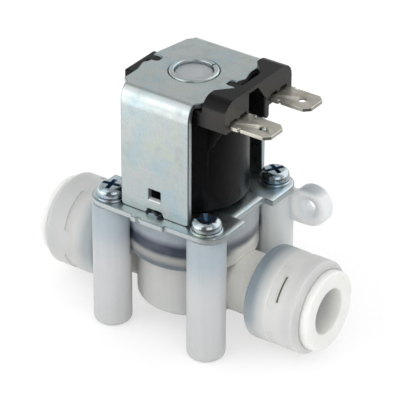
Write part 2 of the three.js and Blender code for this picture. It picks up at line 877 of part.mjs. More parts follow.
function coilCover() {
  const shell = coverShell();
  const coreRadius = coil.coverRadius - coil.coverWall / 2;
  const core = rodZ(coreRadius, 0, 0, coverBottomZ - cutOver, coverTopZ + cutOver, roundSegments);
  const front = extrudeX(housingFront(), 0, housing.frontX);
  const upper = extrudeZ(housingPlan(), coverTopZ, housingTopZ + cutOver);
  const lowerZ = housingFootZ - housing.barrierDrop;
  const clearX = yoke.width / 2 + seatGap;
  const lower = block(clearX, housing.frontX, -housing.halfY, housing.halfY, lowerZ, coverTopZ);
  const shoulders = extrudeX(housingShoulders(lowerZ), 0, clearX);
  const terminals = front.intersect(joined([upper, lower, shoulders])).subtract(core);
  const fin = polygon([
    [housing.finFootX, housingFootZ - housing.finHeight],
    [housing.finTopX, housingFootZ + seatGap],
    [housing.finFootX, housingFootZ + seatGap],
  ]);
  const fins = [-1, 1].map((side) => {
    const y = (side * blade.pitch) / 2;
    return extrudeY(fin, y - housing.finThickness / 2, y + housing.finThickness / 2).subtract(core);
  });
  const tabTopZ = coverTopZ - coil.tabDrop;
  const tab = block(-coil.tabX, 0, -coil.tabHalf, coil.tabHalf, tabTopZ - coil.tabThickness, tabTopZ);
  const keyOuterX = coil.coverRadius - seatGap;
  const keys = keyPair(seatGap, keyOuterX, coverTopZ - coil.keySink, yokeTopZ - yoke.keyDrop);
  const pockets = [-1, 1].map(bladePocket);
  return cutBy(joined([shell, terminals, ...fins, tab.subtract(core), ...keys]), pockets);
}

// A blade's pocket in the terminal housing, with two slits over the blade and a rib between them.
function bladePocket(side) {
  const y = (side * blade.pitch) / 2;
  const half = blade.rootHalf + seatGap;
  const backX = blade.rootX - seatGap;
  const frontX = housing.frontX + cutOver;
  const lowZ = bladeZ - blade.thickness / 2 - seatGap;
  const highZ = bladeZ + blade.thickness / 2 + seatGap;
  const pocket = block(backX, frontX, y - half, y + half, lowZ, highZ);
  const slit = block(backX, frontX, y - half, y + half, lowZ, highZ + housing.slitHeight);
  const halfRib = housing.slitRib / 2;
  const rib = block(backX - cutOver, frontX + cutOver, y - halfRib, y + halfRib, lowZ, housingTopZ);
  return pocket.add(slit.subtract(rib));
}

function bobbinForm() {
  const inner = coil.bobbinRadius;
  const outer = inner + coil.bobbinWall;
  const flange = coil.coverRadius - coil.coverWall - seatGap;
  const lowZ = coverBottomZ + coil.endWall + seatGap;
  const highZ = coverTopZ - coil.endWall - seatGap;
  return revolve([
    [inner, coverBottomZ],
    [outer, coverBottomZ],
    [outer, lowZ],
    [flange, lowZ],
    [flange, lowZ + coil.bobbinFlange],
    [outer, lowZ + coil.bobbinFlange],
    [outer, highZ - coil.bobbinFlange],
    [flange, highZ - coil.bobbinFlange],
    [flange, highZ],
    [outer, highZ],
    [outer, coverTopZ],
    [inner, coverTopZ],
  ], smallSegments);
}

function windingForm() {
  const inner = coil.bobbinRadius + coil.bobbinWall + slipGap;
  const outer = coil.coverRadius - coil.coverWall - 2 * seatGap;
  const lowZ = coverBottomZ + coil.endWall + seatGap + coil.bobbinFlange + slipGap;
  const highZ = coverTopZ - coil.endWall - seatGap - coil.bobbinFlange - slipGap;
  return revolve([[inner, lowZ], [outer, lowZ], [outer, highZ], [inner, highZ]], smallSegments);
}

function bladeForm(side) {
  const y = (side * blade.pitch) / 2;
  const half = blade.width / 2;
  const shoulderHalf = half + blade.shoulderExtra;
  const tabX = blade.tipX - blade.tabLength;
  const faceX = housing.frontX + seatGap;
  const { tipX, tipChamfer, rootX, rootHalf } = blade;
  const outline = polygon([
    [rootX, -rootHalf],
    [faceX, -rootHalf],
    [faceX, -shoulderHalf],
    [tabX - blade.notchLength, -shoulderHalf],
    [tabX - blade.notchLength, -half + blade.notchDepth],
    [tabX, -half + blade.notchDepth],
    [tabX, -half],
    [tipX - tipChamfer, -half],
    [tipX, -half + tipChamfer],
    [tipX, half - tipChamfer],
    [tipX - tipChamfer, half],
    [tabX, half],
    [tabX, half - blade.notchDepth],
    [tabX - blade.notchLength, half - blade.notchDepth],
    [tabX - blade.notchLength, shoulderHalf],
    [faceX, shoulderHalf],
    [faceX, rootHalf],
    [rootX, rootHalf],
  ]);
  const holeX = tipX - blade.holeFromTip;
  outline.holes.push(new THREE.Path().absarc(holeX, 0, blade.holeRadius, 0, 2 * Math.PI, true));
  const underZ = bladeZ - blade.thickness / 2;
  return extrudeZ(outline, underZ, underZ + blade.thickness, holeSegments).translate([0, y, 0]);
}

// ---- steel circuit ----

function legForm(side) {
  const half = yoke.width / 2;
  const footZ = plateTopZ;
  const topZ = yokeTopZ - yoke.bendRadius;
  const r = yoke.cornerRadius;
  const leg = polygon([
    ...arcPoints(-half + r, footZ + r, r, 180, 270, 4),
    [-yoke.notchFootHalf, footZ],
    [-yoke.notchTopHalf, footZ + yoke.notchHeight],
    [yoke.notchTopHalf, footZ + yoke.notchHeight],
    [yoke.notchFootHalf, footZ],
    ...arcPoints(half - r, footZ + r, r, 270, 360, 4),
    [half, topZ],
    [-half, topZ],
  ]);
  const slotZ = footZ + yoke.slotZ;
  const slotTopZ = slotZ + yoke.slotHeight / 2;
  const slotFootZ = slotZ - yoke.slotHeight / 2;
  const slot = [[-1, slotFootZ], [-1, slotTopZ], [1, slotTopZ], [1, slotFootZ]];
  leg.holes.push(new THREE.Path(slot.map(([k, z]) => new THREE.Vector2(k * yoke.slotHalf, z))));
  return side < 0 ? extrudeY(leg, -legOuterY, -legInnerY) : extrudeY(leg, legInnerY, legOuterY);
}

function yokeForm() {
  const { bendRadius, thickness, crownHalf, crownShoulderHalf, crownShoulderY, crownFlatY } = yoke;
  const bendY = legOuterY - bendRadius;
  const bendZ = yokeTopZ - bendRadius;
  const arch = polygon([
    ...arcPoints(-bendY, bendZ, bendRadius, 180, 90, 6),
    ...arcPoints(bendY, bendZ, bendRadius, 90, 0, 6),
    ...arcPoints(bendY, bendZ, bendRadius - thickness, 0, 90, 3),
    ...arcPoints(-bendY, bendZ, bendRadius - thickness, 90, 180, 3),
  ]);
  const crown = polygon([
    [-crownHalf, crownFlatY],
    [-crownShoulderHalf, crownShoulderY],
    [crownShoulderHalf, crownShoulderY],
    [crownHalf, crownFlatY],
    [crownHalf, -crownFlatY],
    [crownShoulderHalf, -crownShoulderY],
    [-crownShoulderHalf, -crownShoulderY],
    [-crownHalf, -crownFlatY],
  ]);
  const half = yoke.width / 2;
  const steel = joined([
    legForm(-1),
    legForm(1),
    extrudeX(arch, -half, half),
    extrudeZ(crown, yokeRoofZ, yokeTopZ),
  ]);
  const keySlots = keyPair(0, crownHalf + cutOver, yokeRoofZ - cutOver, yokeTopZ + cutOver);
  const hole = rodZ(sleeveOuter + slipGap, 0, 0, yokeRoofZ - cutOver, yokeTopZ + cutOver);
  return cutBy(steel, [...keySlots, hole]);
}

function basePlate() {
  const { halfX, halfY, cornerRadius: r, sideNotchDepth, sideNotchHalf, lipHalf, lipNickRadius } = plate;
  const corner = (sx, sy, from) => arcPoints(sx * (halfX - r), sy * (halfY - r), r, from, from + 90, 6);
  const lipY = halfY + plate.lipReach;
  const nickX = lipHalf - plate.lipNickIn;
  const nick = (sy, from) => arcPoints(-sy * nickX, sy * lipY, lipNickRadius, from, from - 180, 4);
  const outline = polygon([
    [halfX, -sideNotchHalf],
    [halfX - sideNotchDepth, -sideNotchHalf],
    [halfX - sideNotchDepth, sideNotchHalf],
    [halfX, sideNotchHalf],
    ...corner(1, 1, 0),
    [lipHalf, halfY],
    [lipHalf, lipY],
    ...nick(1, 0),
    [-lipHalf, lipY],
    [-lipHalf, halfY],
    ...corner(-1, 1, 90),
    [-halfX, sideNotchHalf],
    [-halfX + sideNotchDepth, sideNotchHalf],
    [-halfX + sideNotchDepth, -sideNotchHalf],
    [-halfX, -sideNotchHalf],
    ...corner(-1, -1, 180),
    [-lipHalf, -halfY],
    [-lipHalf, -lipY],
    ...nick(-1, 180),
    [lipHalf, -lipY],
    [lipHalf, -halfY],
    ...corner(1, -1, 270),
  ]);
  const sheet = extrudeZ(outline, plateBottomZ, plateTopZ);
  const tongue = polygon([
    [-plate.tongueHalf, plateTopZ - plate.tongueRoot],
    [plate.tongueHalf, plateTopZ - plate.tongueRoot],
    ...arcPoints(0, 0, 1, 0, 180, 6).map(([x, z]) => [x * plate.tongueHalf, plateTopZ + z * plate.tongueRise]),
  ]);
  const tongueY = legOuterY + plate.tongueReach;
  const tongues = [extrudeY(tongue, -tongueY, -legInnerY), extrudeY(tongue, legInnerY, tongueY)];
  const holeRadius = screw.shankRadius + plate.screwPlay;
  const screwHoles = corners.map(({ x, y }) =>
    rodZ(holeRadius, x, y, plateBottomZ - cutOver, plateTopZ + cutOver, holeSegments));
  const hole = rodZ(sleeveOuter + slipGap, 0, 0, plateBottomZ - cutOver, plateTopZ + cutOver);
  return cutBy(joined([sheet, ...tongues]), [hole, ...screwHoles]);
}

// A flux sleeve is rolled from strip, so it has a seam along its length.
function fluxSleeveForm(fromZ, toZ, proudEdge) {
  const edge = proudEdge ? fluxSleeve.rolledEdge : fluxSleeve.plainEdge;
  const roll = revolve([
    [sleeveInner, fromZ],
    [sleeveOuter, fromZ],
    [sleeveOuter, toZ - edge],
    [sleeveOuter - edge, toZ],
    [sleeveInner + edge, toZ],
    [sleeveInner, toZ - edge],
  ], smallSegments);
  const halfSeam = fluxSleeve.seam / 2;
  const seam = block(0, sleeveOuter + cutOver, -halfSeam, halfSeam, fromZ - cutOver, toZ + cutOver);
  return roll.subtract(seam.rotate([0, 0, fluxSleeve.seamTurn]));
}

function screwForm() {
  const headZ = plateTopZ + washer.thickness;
  const topZ = headZ + screw.headHeight;
  const tipZ = plateTopZ - screw.length;
  const { headRadius, domeRadius, shankRadius, crossWidth, crossHalf, crossDepth } = screw;
  const form = revolve([
    [0, tipZ],
    [shankRadius - screw.pointLength / 2, tipZ],
    [shankRadius, tipZ + screw.pointLength],
    [shankRadius, headZ],
    [headRadius - screw.headEdge, headZ],
    [headRadius, headZ + screw.headEdge],
    ...arcPoints(headRadius - domeRadius, topZ - domeRadius, domeRadius, 0, 90, 3),
    [0, topZ],
  ], screwSegments);
  const halfWidth = crossWidth / 2;
  const slot = block(-crossHalf, crossHalf, -halfWidth, halfWidth, topZ - crossDepth, topZ + cutOver);
  return cutBy(form, [slot.rotate([0, 0, screw.crossTurn]), slot.rotate([0, 0, screw.crossTurn + 90])]);
}

function washerForm() {
  const inner = screw.shankRadius + washer.play;
  return revolve([
    [inner, plateTopZ],
    [washer.radius, plateTopZ],
    [washer.radius, plateTopZ + washer.thickness],
    [inner, plateTopZ + washer.thickness],
  ], screwSegments);
}

// ---- assembly ----

const valve = new THREE.Group();
const upperSleeve = fluxSleeveForm(yokeTopZ - fluxSleeve.upperLength, yokeTopZ + fluxSleeve.proud, true);
const lowerSleeve = fluxSleeveForm(plateBottomZ + slipGap, plateBottomZ + fluxSleeve.lowerLength, false);

valve.add(
  piece('valve_body', valveBody(), 'clearPlastic'),
  piece('guide_tube', guideTube(), 'clearPlastic'),
  piece('diaphragm', diaphragmForm(), 'rubber'),
  piece('diaphragm_insert', insertForm(), 'whitePlastic'),
  piece('plunger', plungerForm(), 'plainSteel'),
  piece('plunger_seal', plungerSeal(), 'rubber'),
  piece('plunger_spring', springForm(), 'plainSteel'),
  piece('coil_cover', coilCover(), 'blackPlastic'),
  piece('coil_bobbin', bobbinForm(), 'blackPlastic'),
  piece('coil_winding', windingForm(), 'copper'),
  piece('near_terminal', bladeForm(-1), 'tinnedBrass'),
  piece('far_terminal', bladeForm(1), 'tinnedBrass'),
  piece('yoke', yokeForm(), 'zincSteel'),
  piece('base_plate', basePlate(), 'zincSteel'),
  piece('upper_flux_sleeve', upperSleeve, 'zincSteel'),
  piece('lower_flux_sleeve', lowerSleeve, 'zincSteel'),
);

for (const { name, x, y } of corners) {
  const pair = new THREE.Group();
  pair.add(
    piece(`${name}_screw`, screwForm(), 'zincSteel'),
    piece(`${name}_washer`, washerForm(), 'zincSteel'),
  );
  pair.position.set(x, y, 0);
  valve.add(pair);
}

valve.add(portPieces('outlet'));
const inletPort = portPieces('inlet');
inletPort.rotation.z = Math.PI;
valve.add(inletPort);

export default valve;
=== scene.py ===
import math
from types import SimpleNamespace

import bmesh
import bpy
from mathutils import Matrix, Vector


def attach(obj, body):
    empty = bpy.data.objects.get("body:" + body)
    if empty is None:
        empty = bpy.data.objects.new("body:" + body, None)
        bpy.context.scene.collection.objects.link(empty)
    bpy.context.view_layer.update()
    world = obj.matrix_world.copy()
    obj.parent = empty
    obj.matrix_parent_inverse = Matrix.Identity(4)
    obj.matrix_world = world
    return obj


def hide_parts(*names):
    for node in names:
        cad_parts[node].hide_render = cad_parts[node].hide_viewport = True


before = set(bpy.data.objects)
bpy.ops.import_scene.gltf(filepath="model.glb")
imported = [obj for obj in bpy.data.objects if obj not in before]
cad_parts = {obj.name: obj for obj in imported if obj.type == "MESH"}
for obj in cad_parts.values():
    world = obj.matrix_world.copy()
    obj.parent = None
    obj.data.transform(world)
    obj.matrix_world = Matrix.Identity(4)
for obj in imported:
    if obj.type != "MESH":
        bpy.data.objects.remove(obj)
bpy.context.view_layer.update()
mm = 0.001  # in metres
fourCorners = [(sx, sy) for sx in (-1, 1) for sy in (-1, 1)]


# Outlines and meshes

def named(sizes):
    # lets a dictionary of sizes be read as s.width
    return SimpleNamespace(**sizes)


def arc(centreA, centreB, radius, fromDeg, toDeg, steps):
    points = []
    for i in range(steps + 1):
        angle = math.radians(fromDeg + (toDeg - fromDeg) * i / steps)
        points.append((centreA + radius * math.cos(angle), centreB + radius * math.sin(angle)))
    return points


def softLoop(points, steps=4):
    # each point is (a, b) for a sharp corner or (a, b, r) for a rounded one
    loop = []
    count = len(points)
    for i, point in enumerate(points):
        here = Vector(point[:2])
        radius = point[2] if len(point) > 2 else 0
        toPrevious = Vector(points[i - 1][:2]) - here
        toNext = Vector(points[(i + 1) % count][:2]) - here
        if radius <= 0 or toPrevious.length < 1e-9 or toNext.length < 1e-9:
            loop.append(tuple(here))
            continue
        halfAngle = toPrevious.angle(toNext) / 2
        if halfAngle > math.radians(88):
            loop.append(tuple(here))
            continue
        cut = min(radius / math.tan(halfAngle), toPrevious.length * 0.48, toNext.length * 0.48)
        radius = cut * math.tan(halfAngle)
        bisector = (toPrevious.normalized() + toNext.normalized()).normalized()
        centre = here + bisector * (radius / math.sin(halfAngle))
        start = here + toPrevious.normalized() * cut - centre
        end = here + toNext.normalized() * cut - centre
        startAngle = math.atan2(start.y, start.x)
        sweep = math.atan2(start.x * end.y - start.y * end.x, start.dot(end))
        for k in range(steps + 1):
            angle = startAngle + sweep * k / steps
            loop.append((centre.x + radius * math.cos(angle), centre.y + radius * math.sin(angle)))
    return loop


def meshPiece(name, bm):
    bmesh.ops.remove_doubles(bm, verts=bm.verts, dist=1e-4)
    if bm.calc_volume(signed=True) < 0:
        bmesh.ops.reverse_faces(bm, faces=bm.faces)
    mesh = bpy.data.meshes.new(name)
    bm.to_mesh(mesh)
    bm.free()
    piece = bpy.data.objects.new(name, mesh)
    bpy.context.scene.collection.objects.link(piece)
    return piece


def lathe(name, loop, axis="z", steps=96, centre=(0, 0, 0)):
    # turns a closed loop of (radius, height) points about an axis
    bm = bmesh.new()
    rings = []
    for radius, height in loop:
        ring = []
        for i in range(1 if radius < 1e-6 else steps):
            angle = 2 * math.pi * i / steps
            a, b = radius * math.cos(angle), radius * math.sin(angle)
            spot = {"z": (a, b, height), "x": (height, a, b), "y": (b, height, a)}[axis]
            ring.append(bm.verts.new(Vector(spot) + Vector(centre)))
        rings.append(ring)
    for k, ring in enumerate(rings):
        other = rings[(k + 1) % len(rings)]
        if len(ring) == 1 and len(other) == 1:
            continue
        for i in range(steps):
            j = (i + 1) % steps
            corners = [ring[i % len(ring)], ring[j % len(ring)], other[j % len(other)], other[i % len(other)]]
            corners = list(dict.fromkeys(corners))  # a ring of one point closes a pole
            if len(corners) > 2:
                bm.faces.new(corners)
    return meshPiece(name, bm)


def prism(name, loop, low, high, axis="z"):
    # pushes a closed outline along an axis: (x, y) along z, (x, z) along y, (y, z) along x
    bm = bmesh.new()
    ends = []
    for level in (low, high):
        ends.append([bm.verts.new({"z": (a, b, level), "y": (a, level, b), "x": (level, a, b)}[axis])
                     for a, b in loop])
    bm.faces.new(ends[0][::-1])
    bm.faces.new(ends[1])
    for i in range(len(loop)):
        j = (i + 1) % len(loop)
        bm.faces.new((ends[0][i], ends[0][j], ends[1][j], ends[1][i]))
    bmesh.ops.recalc_face_normals(bm, faces=bm.faces)
    return meshPiece(name, bm)


def box(name, low, high):
    loop = [(low[0], low[1]), (high[0], low[1]), (high[0], high[1]), (low[0], high[1])]
    return prism(name, loop, low[2], high[2])


def bakeModifiers(piece):
    graph = bpy.context.evaluated_depsgraph_get()
    old = piece.data
    piece.data = bpy.data.meshes.new_from_object(piece.evaluated_get(graph))
    piece.modifiers.clear()
    bpy.data.meshes.remove(old)
    return piece


def startTree(name, *inputs):
    # a Geometry Nodes tree with a geometry input and one named input for each size
    tree = bpy.data.node_groups.new(name, "GeometryNodeTree")
    tree.interface.new_socket("Geometry", in_out="INPUT", socket_type="NodeSocketGeometry")
    for label, kind in inputs:
        tree.interface.new_socket(label, in_out="INPUT", socket_type="NodeSocket" + kind)
    tree.interface.new_socket("Geometry", in_out="OUTPUT", socket_type="NodeSocketGeometry")
    return tree, tree.nodes.new("NodeGroupInput").outputs


def treeNode(tree, kind, operation=None, **inputs):
    made = tree.nodes.new(kind)
    if operation:
        made.operation = operation
    for key, source in inputs.items():
        socket = made.inputs[int(key[1:])] if key[1:].isdigit() else made.inputs[key.replace("_", " ")]
        if hasattr(source, "is_linked"):
            tree.links.new(source, socket)
        else:
            socket.default_value = source
    return made.outputs[0]


def finishTree(tree, points, turn, given):
    # a copy on each point; instances become real faces, because the export drops instances
    copies = treeNode(tree, "GeometryNodeInstanceOnPoints", Points=points, Instance=given["Geometry"],
                      Rotation=turn)
    real = treeNode(tree, "GeometryNodeRealizeInstances", Geometry=copies)
    dressed = treeNode(tree, "GeometryNodeSetMaterial", Geometry=real, Material=given["Finish"])
    tree.links.new(dressed, tree.nodes.new("NodeGroupOutput").inputs[0])
    return tree


def cornerTree():
    # one copy at each corner of a rectangle, each turned a step further about its own axis
    tree, given = startTree("cornerCopies", ("Size X", "Float"), ("Size Y", "Float"), ("Turn", "Float"),
                            ("Turn Step", "Float"), ("Finish", "Material"))
    grid = treeNode(tree, "GeometryNodeMeshGrid", Size_X=given["Size X"], Size_Y=given["Size Y"],
                    Vertices_X=2, Vertices_Y=2)
    index = treeNode(tree, "GeometryNodeInputIndex")
    step = treeNode(tree, "ShaderNodeMath", "MULTIPLY", _0=index, _1=given["Turn Step"])
    angle = treeNode(tree, "ShaderNodeMath", "ADD", _0=step, _1=given["Turn"])
    turn = treeNode(tree, "ShaderNodeCombineXYZ", Z=angle)
    return finishTree(tree, grid, turn, given)


def wheelTree():
    # copies spaced evenly about the X axis
    tree, given = startTree("wheelCopies", ("Count", "Int"), ("Turn", "Float"), ("Finish", "Material"))
    points = treeNode(tree, "GeometryNodePoints", Count=given["Count"])
    index = treeNode(tree, "GeometryNodeInputIndex")
    step = treeNode(tree, "ShaderNodeMath", "DIVIDE", _0=2 * math.pi, _1=given["Count"])
    angle = treeNode(tree, "ShaderNodeMath", "MULTIPLY_ADD", _0=index, _1=step, _2=given["Turn"])
    turn = treeNode(tree, "ShaderNodeCombineXYZ", X=angle)
    return finishTree(tree, points, turn, given)


def repeated(piece, tree, **values):
    # runs a tree on a piece and leaves a plain mesh
    change = piece.modifiers.new("copies", "NODES")
    change.node_group = tree
    for socket in tree.interface.items_tree:
        key = socket.name.replace(" ", "")
        if socket.in_out == "INPUT" and key in values:
            change[socket.identifier] = values[key]
    return bakeModifiers(piece)


cornerCopies = cornerTree()
wheelCopies = wheelTree()


def withTools(piece, tools, operation):
    for tool in tools:
        change = piece.modifiers.new("carve", "BOOLEAN")
        change.operation = operation
        change.solver = "MANIFOLD"
        change.object = tool
        bakeModifiers(piece)
        bpy.data.objects.remove(tool)
    return piece


def cut(piece, *tools):
    return withTools(piece, tools, "DIFFERENCE")


def join(piece, *others):
    return withTools(piece, others, "UNION")


def softEdges(piece, width, angle=35, segments=2):
    bevel = piece.modifiers.new("edge", "BEVEL")
    bevel.width = width
    bevel.segments = segments
    bevel.limit_method = "ANGLE"
    bevel.angle_limit = math.radians(angle)
    bevel.use_clamp_overlap = True
    return bakeModifiers(piece)


shearOf = {"flat": 0.0, "rolled": 0.5, "wall": 1.0, "lit": 2.0}  # lit is a cut wall that faces the sky, painted near white as painted light


def sheet(name, loops, thickness, edge):
    # a flat part with its outline and holes in x and y, mid-plane at z = 0, and its edges just broken
    curve = bpy.data.curves.new(name, "CURVE")
    curve.dimensions = "2D"
    curve.fill_mode = "BOTH"
    curve.extrude = thickness / 2 - edge
    curve.bevel_depth = edge
    curve.bevel_resolution = 2
    curve.offset = -edge
    for loop in loops:
        spline = curve.splines.new("POLY")
        spline.points.add(len(loop) - 1)
        for point, (a, b) in zip(spline.points, loop):
            point.co = (a, b, 0, 1)
        spline.use_cyclic_u = True
    holder = bpy.data.objects.new(name + "Outline", curve)
    bpy.context.scene.collection.objects.link(holder)
    mesh = bpy.data.meshes.new_from_object(holder.evaluated_get(bpy.context.evaluated_depsgraph_get()))
    bm = bmesh.new()
    bm.from_mesh(mesh)
    bpy.data.objects.remove(holder)
    bpy.data.curves.remove(curve)
    bpy.data.meshes.remove(mesh)
    bmesh.ops.remove_doubles(bm, verts=bm.verts, dist=1e-3)
    bmesh.ops.recalc_face_normals(bm, faces=bm.faces)
    shear = bm.faces.layers.float.new("shear")
    for face in bm.faces:
        slope = abs(face.normal.z)
        face[shear] = shearOf["flat" if slope > 0.98 else "wall" if slope < 0.15 else "rolled"]
    return meshPiece(name, bm)


def moved(piece, matrix):
    piece.data.transform(matrix)
    if matrix.determinant() < 0:
        piece.data.flip_normals()
    return piece


def shifted(piece, x, y, z):
    return moved(piece, Matrix.Translation((x, y, z)))


def turned(piece, degrees, axis):
    return moved(piece, Matrix.Rotation(math.radians(degrees), 4, axis.upper()))


def twin(piece, name):
    copy = piece.copy()
    copy.data = piece.data.copy()
    copy.name = copy.data.name = name
    bpy.context.scene.collection.objects.link(copy)
    return copy


def place(piece, material, body, slot, *nodes, angle=38):
    # to metres, shaded, dressed, and handed to its body
    moved(piece, Matrix.Scale(mm, 4))
    piece.data.shade_smooth()
    piece.data.set_sharp_from_angle(angle=math.radians(angle))
    level = piece.modifiers.new("level", "WEIGHTED_NORMAL")
    level.keep_sharp = True
    level.weight = 60
    bakeModifiers(piece)
    piece.data.materials.clear()
    piece.data.materials.append(material)
    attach(piece, body)
    if nodes:
        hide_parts(*nodes)
    return piece


# Finishes

class Nodes:
    # short calls for the nodes of a material or of the world
    def __init__(self, tree, spot):
        self.tree = tree
        self.spot = self.node("ShaderNodeTexCoord").outputs[spot]

    def node(self, kind, **settings):
        made = self.tree.nodes.new(kind)
        for key, value in settings.items():
            setattr(made, key, value)
        return made

    def link(self, source, target):
        self.tree.links.new(source, target)

    def noise(self, perMetre, detail=3, roughness=0.5, stretch=(1, 1, 1), distortion=0):
        mapping = self.node("ShaderNodeMapping")
        mapping.inputs["Scale"].default_value = stretch
        self.link(self.spot, mapping.inputs["Vector"])
        made = self.node("ShaderNodeTexNoise")
        for key, value in (("Scale", perMetre), ("Detail", detail), ("Roughness", roughness),
                           ("Distortion", distortion)):
            made.inputs[key].default_value = value
        self.link(mapping.outputs[0], made.inputs["Vector"])
        return made.outputs["Fac"]

    def remap(self, source, low, high, toLow=0.0, toHigh=1.0, smooth=False):
        made = self.node("ShaderNodeMapRange", interpolation_type="SMOOTHSTEP" if smooth else "LINEAR")
        for key, value in (("From Min", low), ("From Max", high), ("To Min", toLow), ("To Max", toHigh)):
            made.inputs[key].default_value = value
        self.link(source, made.inputs["Value"])
        return made.outputs["Result"]

    def zone(self, coordinate, low, high, toLow=0.0, toHigh=1.0, smooth=False):
        # remap for a place on the piece, with its limits in millimetres
        return self.remap(coordinate, low * mm, high * mm, toLow, toHigh, smooth)

    def maths(self, operation, first, second=None):
        made = self.node("ShaderNodeMath", operation=operation)
        for socket, value in zip(made.inputs, (first, second)):
            if value is None:
                continue
            if isinstance(value, (int, float)):
                socket.default_value = value
            else:
                self.link(value, socket)
        return made.outputs[0]

    def plus(self, first, second):
        return self.maths("ADD", first, second)

    def minus(self, first, second):
        return self.maths("SUBTRACT", first, second)

    def times(self, product, *others):
        for value in others:
            product = self.maths("MULTIPLY", product, value)
        return product

    def size(self, value):
        return self.maths("ABSOLUTE", value)

    def length(self, first, second):
        return self.maths("SQRT", self.plus(self.times(first, first), self.times(second, second)))

    def ramp(self, source, stops):
        made = self.node("ShaderNodeValToRGB")
        line = made.color_ramp
        while len(line.elements) > 1:
            line.elements.remove(line.elements[-1])
        line.elements[0].position = stops[0][0]
        line.elements[0].color = (*stops[0][1], 1)
        for position, colour in stops[1:]:
            line.elements.new(position).color = (*colour, 1)
        self.link(source, made.inputs["Fac"])
        return made.outputs["Color"]

    def mix(self, factor, first, second):
        made = self.node("ShaderNodeMix", data_type="RGBA")
        for socket, value in ((made.inputs[0], factor), (made.inputs[6], first), (made.inputs[7], second)):
            if isinstance(value, (int, float)):
                socket.default_value = value
            elif isinstance(value, tuple):
                socket.default_value = (*value, 1)
            else:
                self.link(value, socket)
        return made.outputs[2]

    def attribute(self, name):
        return self.node("ShaderNodeAttribute", attribute_name=name).outputs["Fac"]

    def split(self, vector=None):
        made = self.node("ShaderNodeSeparateXYZ")
        self.link(vector or self.spot, made.inputs[0])
        return made.outputs["X"], made.outputs["Y"], made.outputs["Z"]

    def along(self, way):
        # how far the spot lies in a level direction
        x, y, z = self.split()
        return self.plus(self.times(x, way[0]), self.times(y, way[1]))


class Finish(Nodes):
    # a Principled material; an underscore in the name of a value stands for a space
    def __init__(self, name, **values):
        self.material = bpy.data.materials.new(name)
        self.material.use_nodes = True
        super().__init__(self.material.node_tree, "Object")
        self.shader = self.tree.nodes["Principled BSDF"]
        for key, value in values.items():
            self.shader.inputs[key.replace("_", " ")].default_value = value

    def paint(self, colour, roughness=None):
        self.link(colour, self.shader.inputs["Base Color"])
        if roughness is not None:
            self.link(roughness, self.shader.inputs["Roughness"])

    def bump(self, *layers):
        # each layer is (height, distance in millimetres, strength)
        last = None
        for height, distance, strength in layers:
            made = self.node("ShaderNodeBump")
            made.inputs["Distance"].default_value = distance * mm
            made.inputs["Strength"].default_value = strength
            self.link(height, made.inputs["Height"])
            if last is not None:
                self.link(last, made.inputs["Normal"])
            last = made.outputs["Normal"]
        self.link(last, self.shader.inputs["Normal"])


def srgb(r, g, b):
    def one(value):
        value /= 255
        return value / 12.92 if value <= 0.04045 else ((value + 0.055) / 1.055) ** 2.4
    return one(r), one(g), one(b)


def sheetEdges(finish):
    # from a sheet part's "shear": its cut walls and its rolled edges
    shear = finish.attribute("shear")
    wall = finish.remap(shear, 0.7, 0.8)
    return wall, finish.minus(finish.remap(shear, 0.3, 0.4), wall)


zincLooks = {
    "tints": ((0.34, (0.9, 0.98, 1.08)), (0.46, (1.0, 1.0, 1.0)), (0.56, (1.06, 0.99, 1.02)),
              (0.68, (1.04, 1.04, 0.92))),
    "dulling": 0.2, "cloudCover": 0.75,
    # painted reflection: a dark blue-grey line painted on rolled edges
    "rolledEdge": srgb(84, 106, 120), "rolledShare": 0.6,
    "cutWall": srgb(196, 202, 202), "litWall": srgb(236, 240, 240), "wallRoughness": 0.15,
}


def zincPlating(name, tone, shine=0.3, mottle=1.0, hollow=None, roll=None):
    # bright zinc with a bluish passivation, cloudy spangle, a painted dark reflection on rolled edges, paler
    # cut walls, painted light on cut walls that face the sky, and painted shade in a recess
    looks = named(zincLooks)
    finish = Finish(name)
    clouds = finish.noise(330, 4, 0.6)
    patches = finish.noise(150, 4, 0.6, distortion=0.8)
    grain = finish.noise(5200, 2, 0.6)
    rolling = finish.noise(1500, 3, 0.6, stretch=(1, 1, 0.06))
    tinted = [(stop, tuple(c * k for c, k in zip(tone, tint))) for stop, tint in looks.tints]
    colour = finish.ramp(patches, tinted)
    dull = tuple(c * (1 - looks.dulling * mottle) for c in tone)
    colour = finish.mix(finish.remap(clouds, 0.5, 0.75, 0, looks.cloudCover * mottle), colour, dull)
    rough = finish.plus(finish.remap(clouds, 0.3, 0.75, shine - 0.05, shine + 0.12),
                        finish.remap(grain, 0.3, 0.7, -0.03, 0.05))
    wall, rolled = sheetEdges(finish)
    lit = finish.remap(finish.attribute("shear"), 1.4, 1.6)  # painted light: near white from all sides, as it faces the sky
    # painted reflection on the rolled edges
    colour = finish.mix(finish.times(rolled, looks.rolledShare), colour, looks.rolledEdge)
    colour = finish.mix(wall, colour, looks.cutWall)
    colour = finish.mix(lit, colour, looks.litWall)
    rough = finish.plus(rough, finish.times(wall, looks.wallRoughness))
    metal = finish.remap(lit, 0, 1, 1, 0.2)
    if hollow is not None:
        # painted shade in the recess: a dark blue-grey, less metallic
        recess = finish.attribute("recess")
        colour = finish.mix(recess, colour, hollow)
        metal = finish.remap(recess, 0, 1, 1, 0.5)
    finish.link(metal, finish.shader.inputs["Metallic"])
    finish.paint(colour, rough)
    layers = [(grain, 0.01, 0.35), (rolling, 0.02, 0.25), (finish.noise(800, 3, 0.5), 0.04, 0.25)]
    if roll is not None:
        layers.append(roll(finish))
    finish.bump(*layers)
    return finish.material


nylonLooks = {
    "deep": srgb(11, 11, 13), "pale": srgb(17, 16, 18), "scuff": srgb(58, 58, 60), "specular": 0.17,
    # painted light: the terminal housing's upright faces are painted greyer, its front and its two ends, the
    # ends darker towards the back as painted shade
    "upright": srgb(60, 59, 58), "uprightShare": 0.9, "frontX": 15.0, "foot": 46.5, "endY": 11.2,
    "endX": (8.5, 12.0),
}


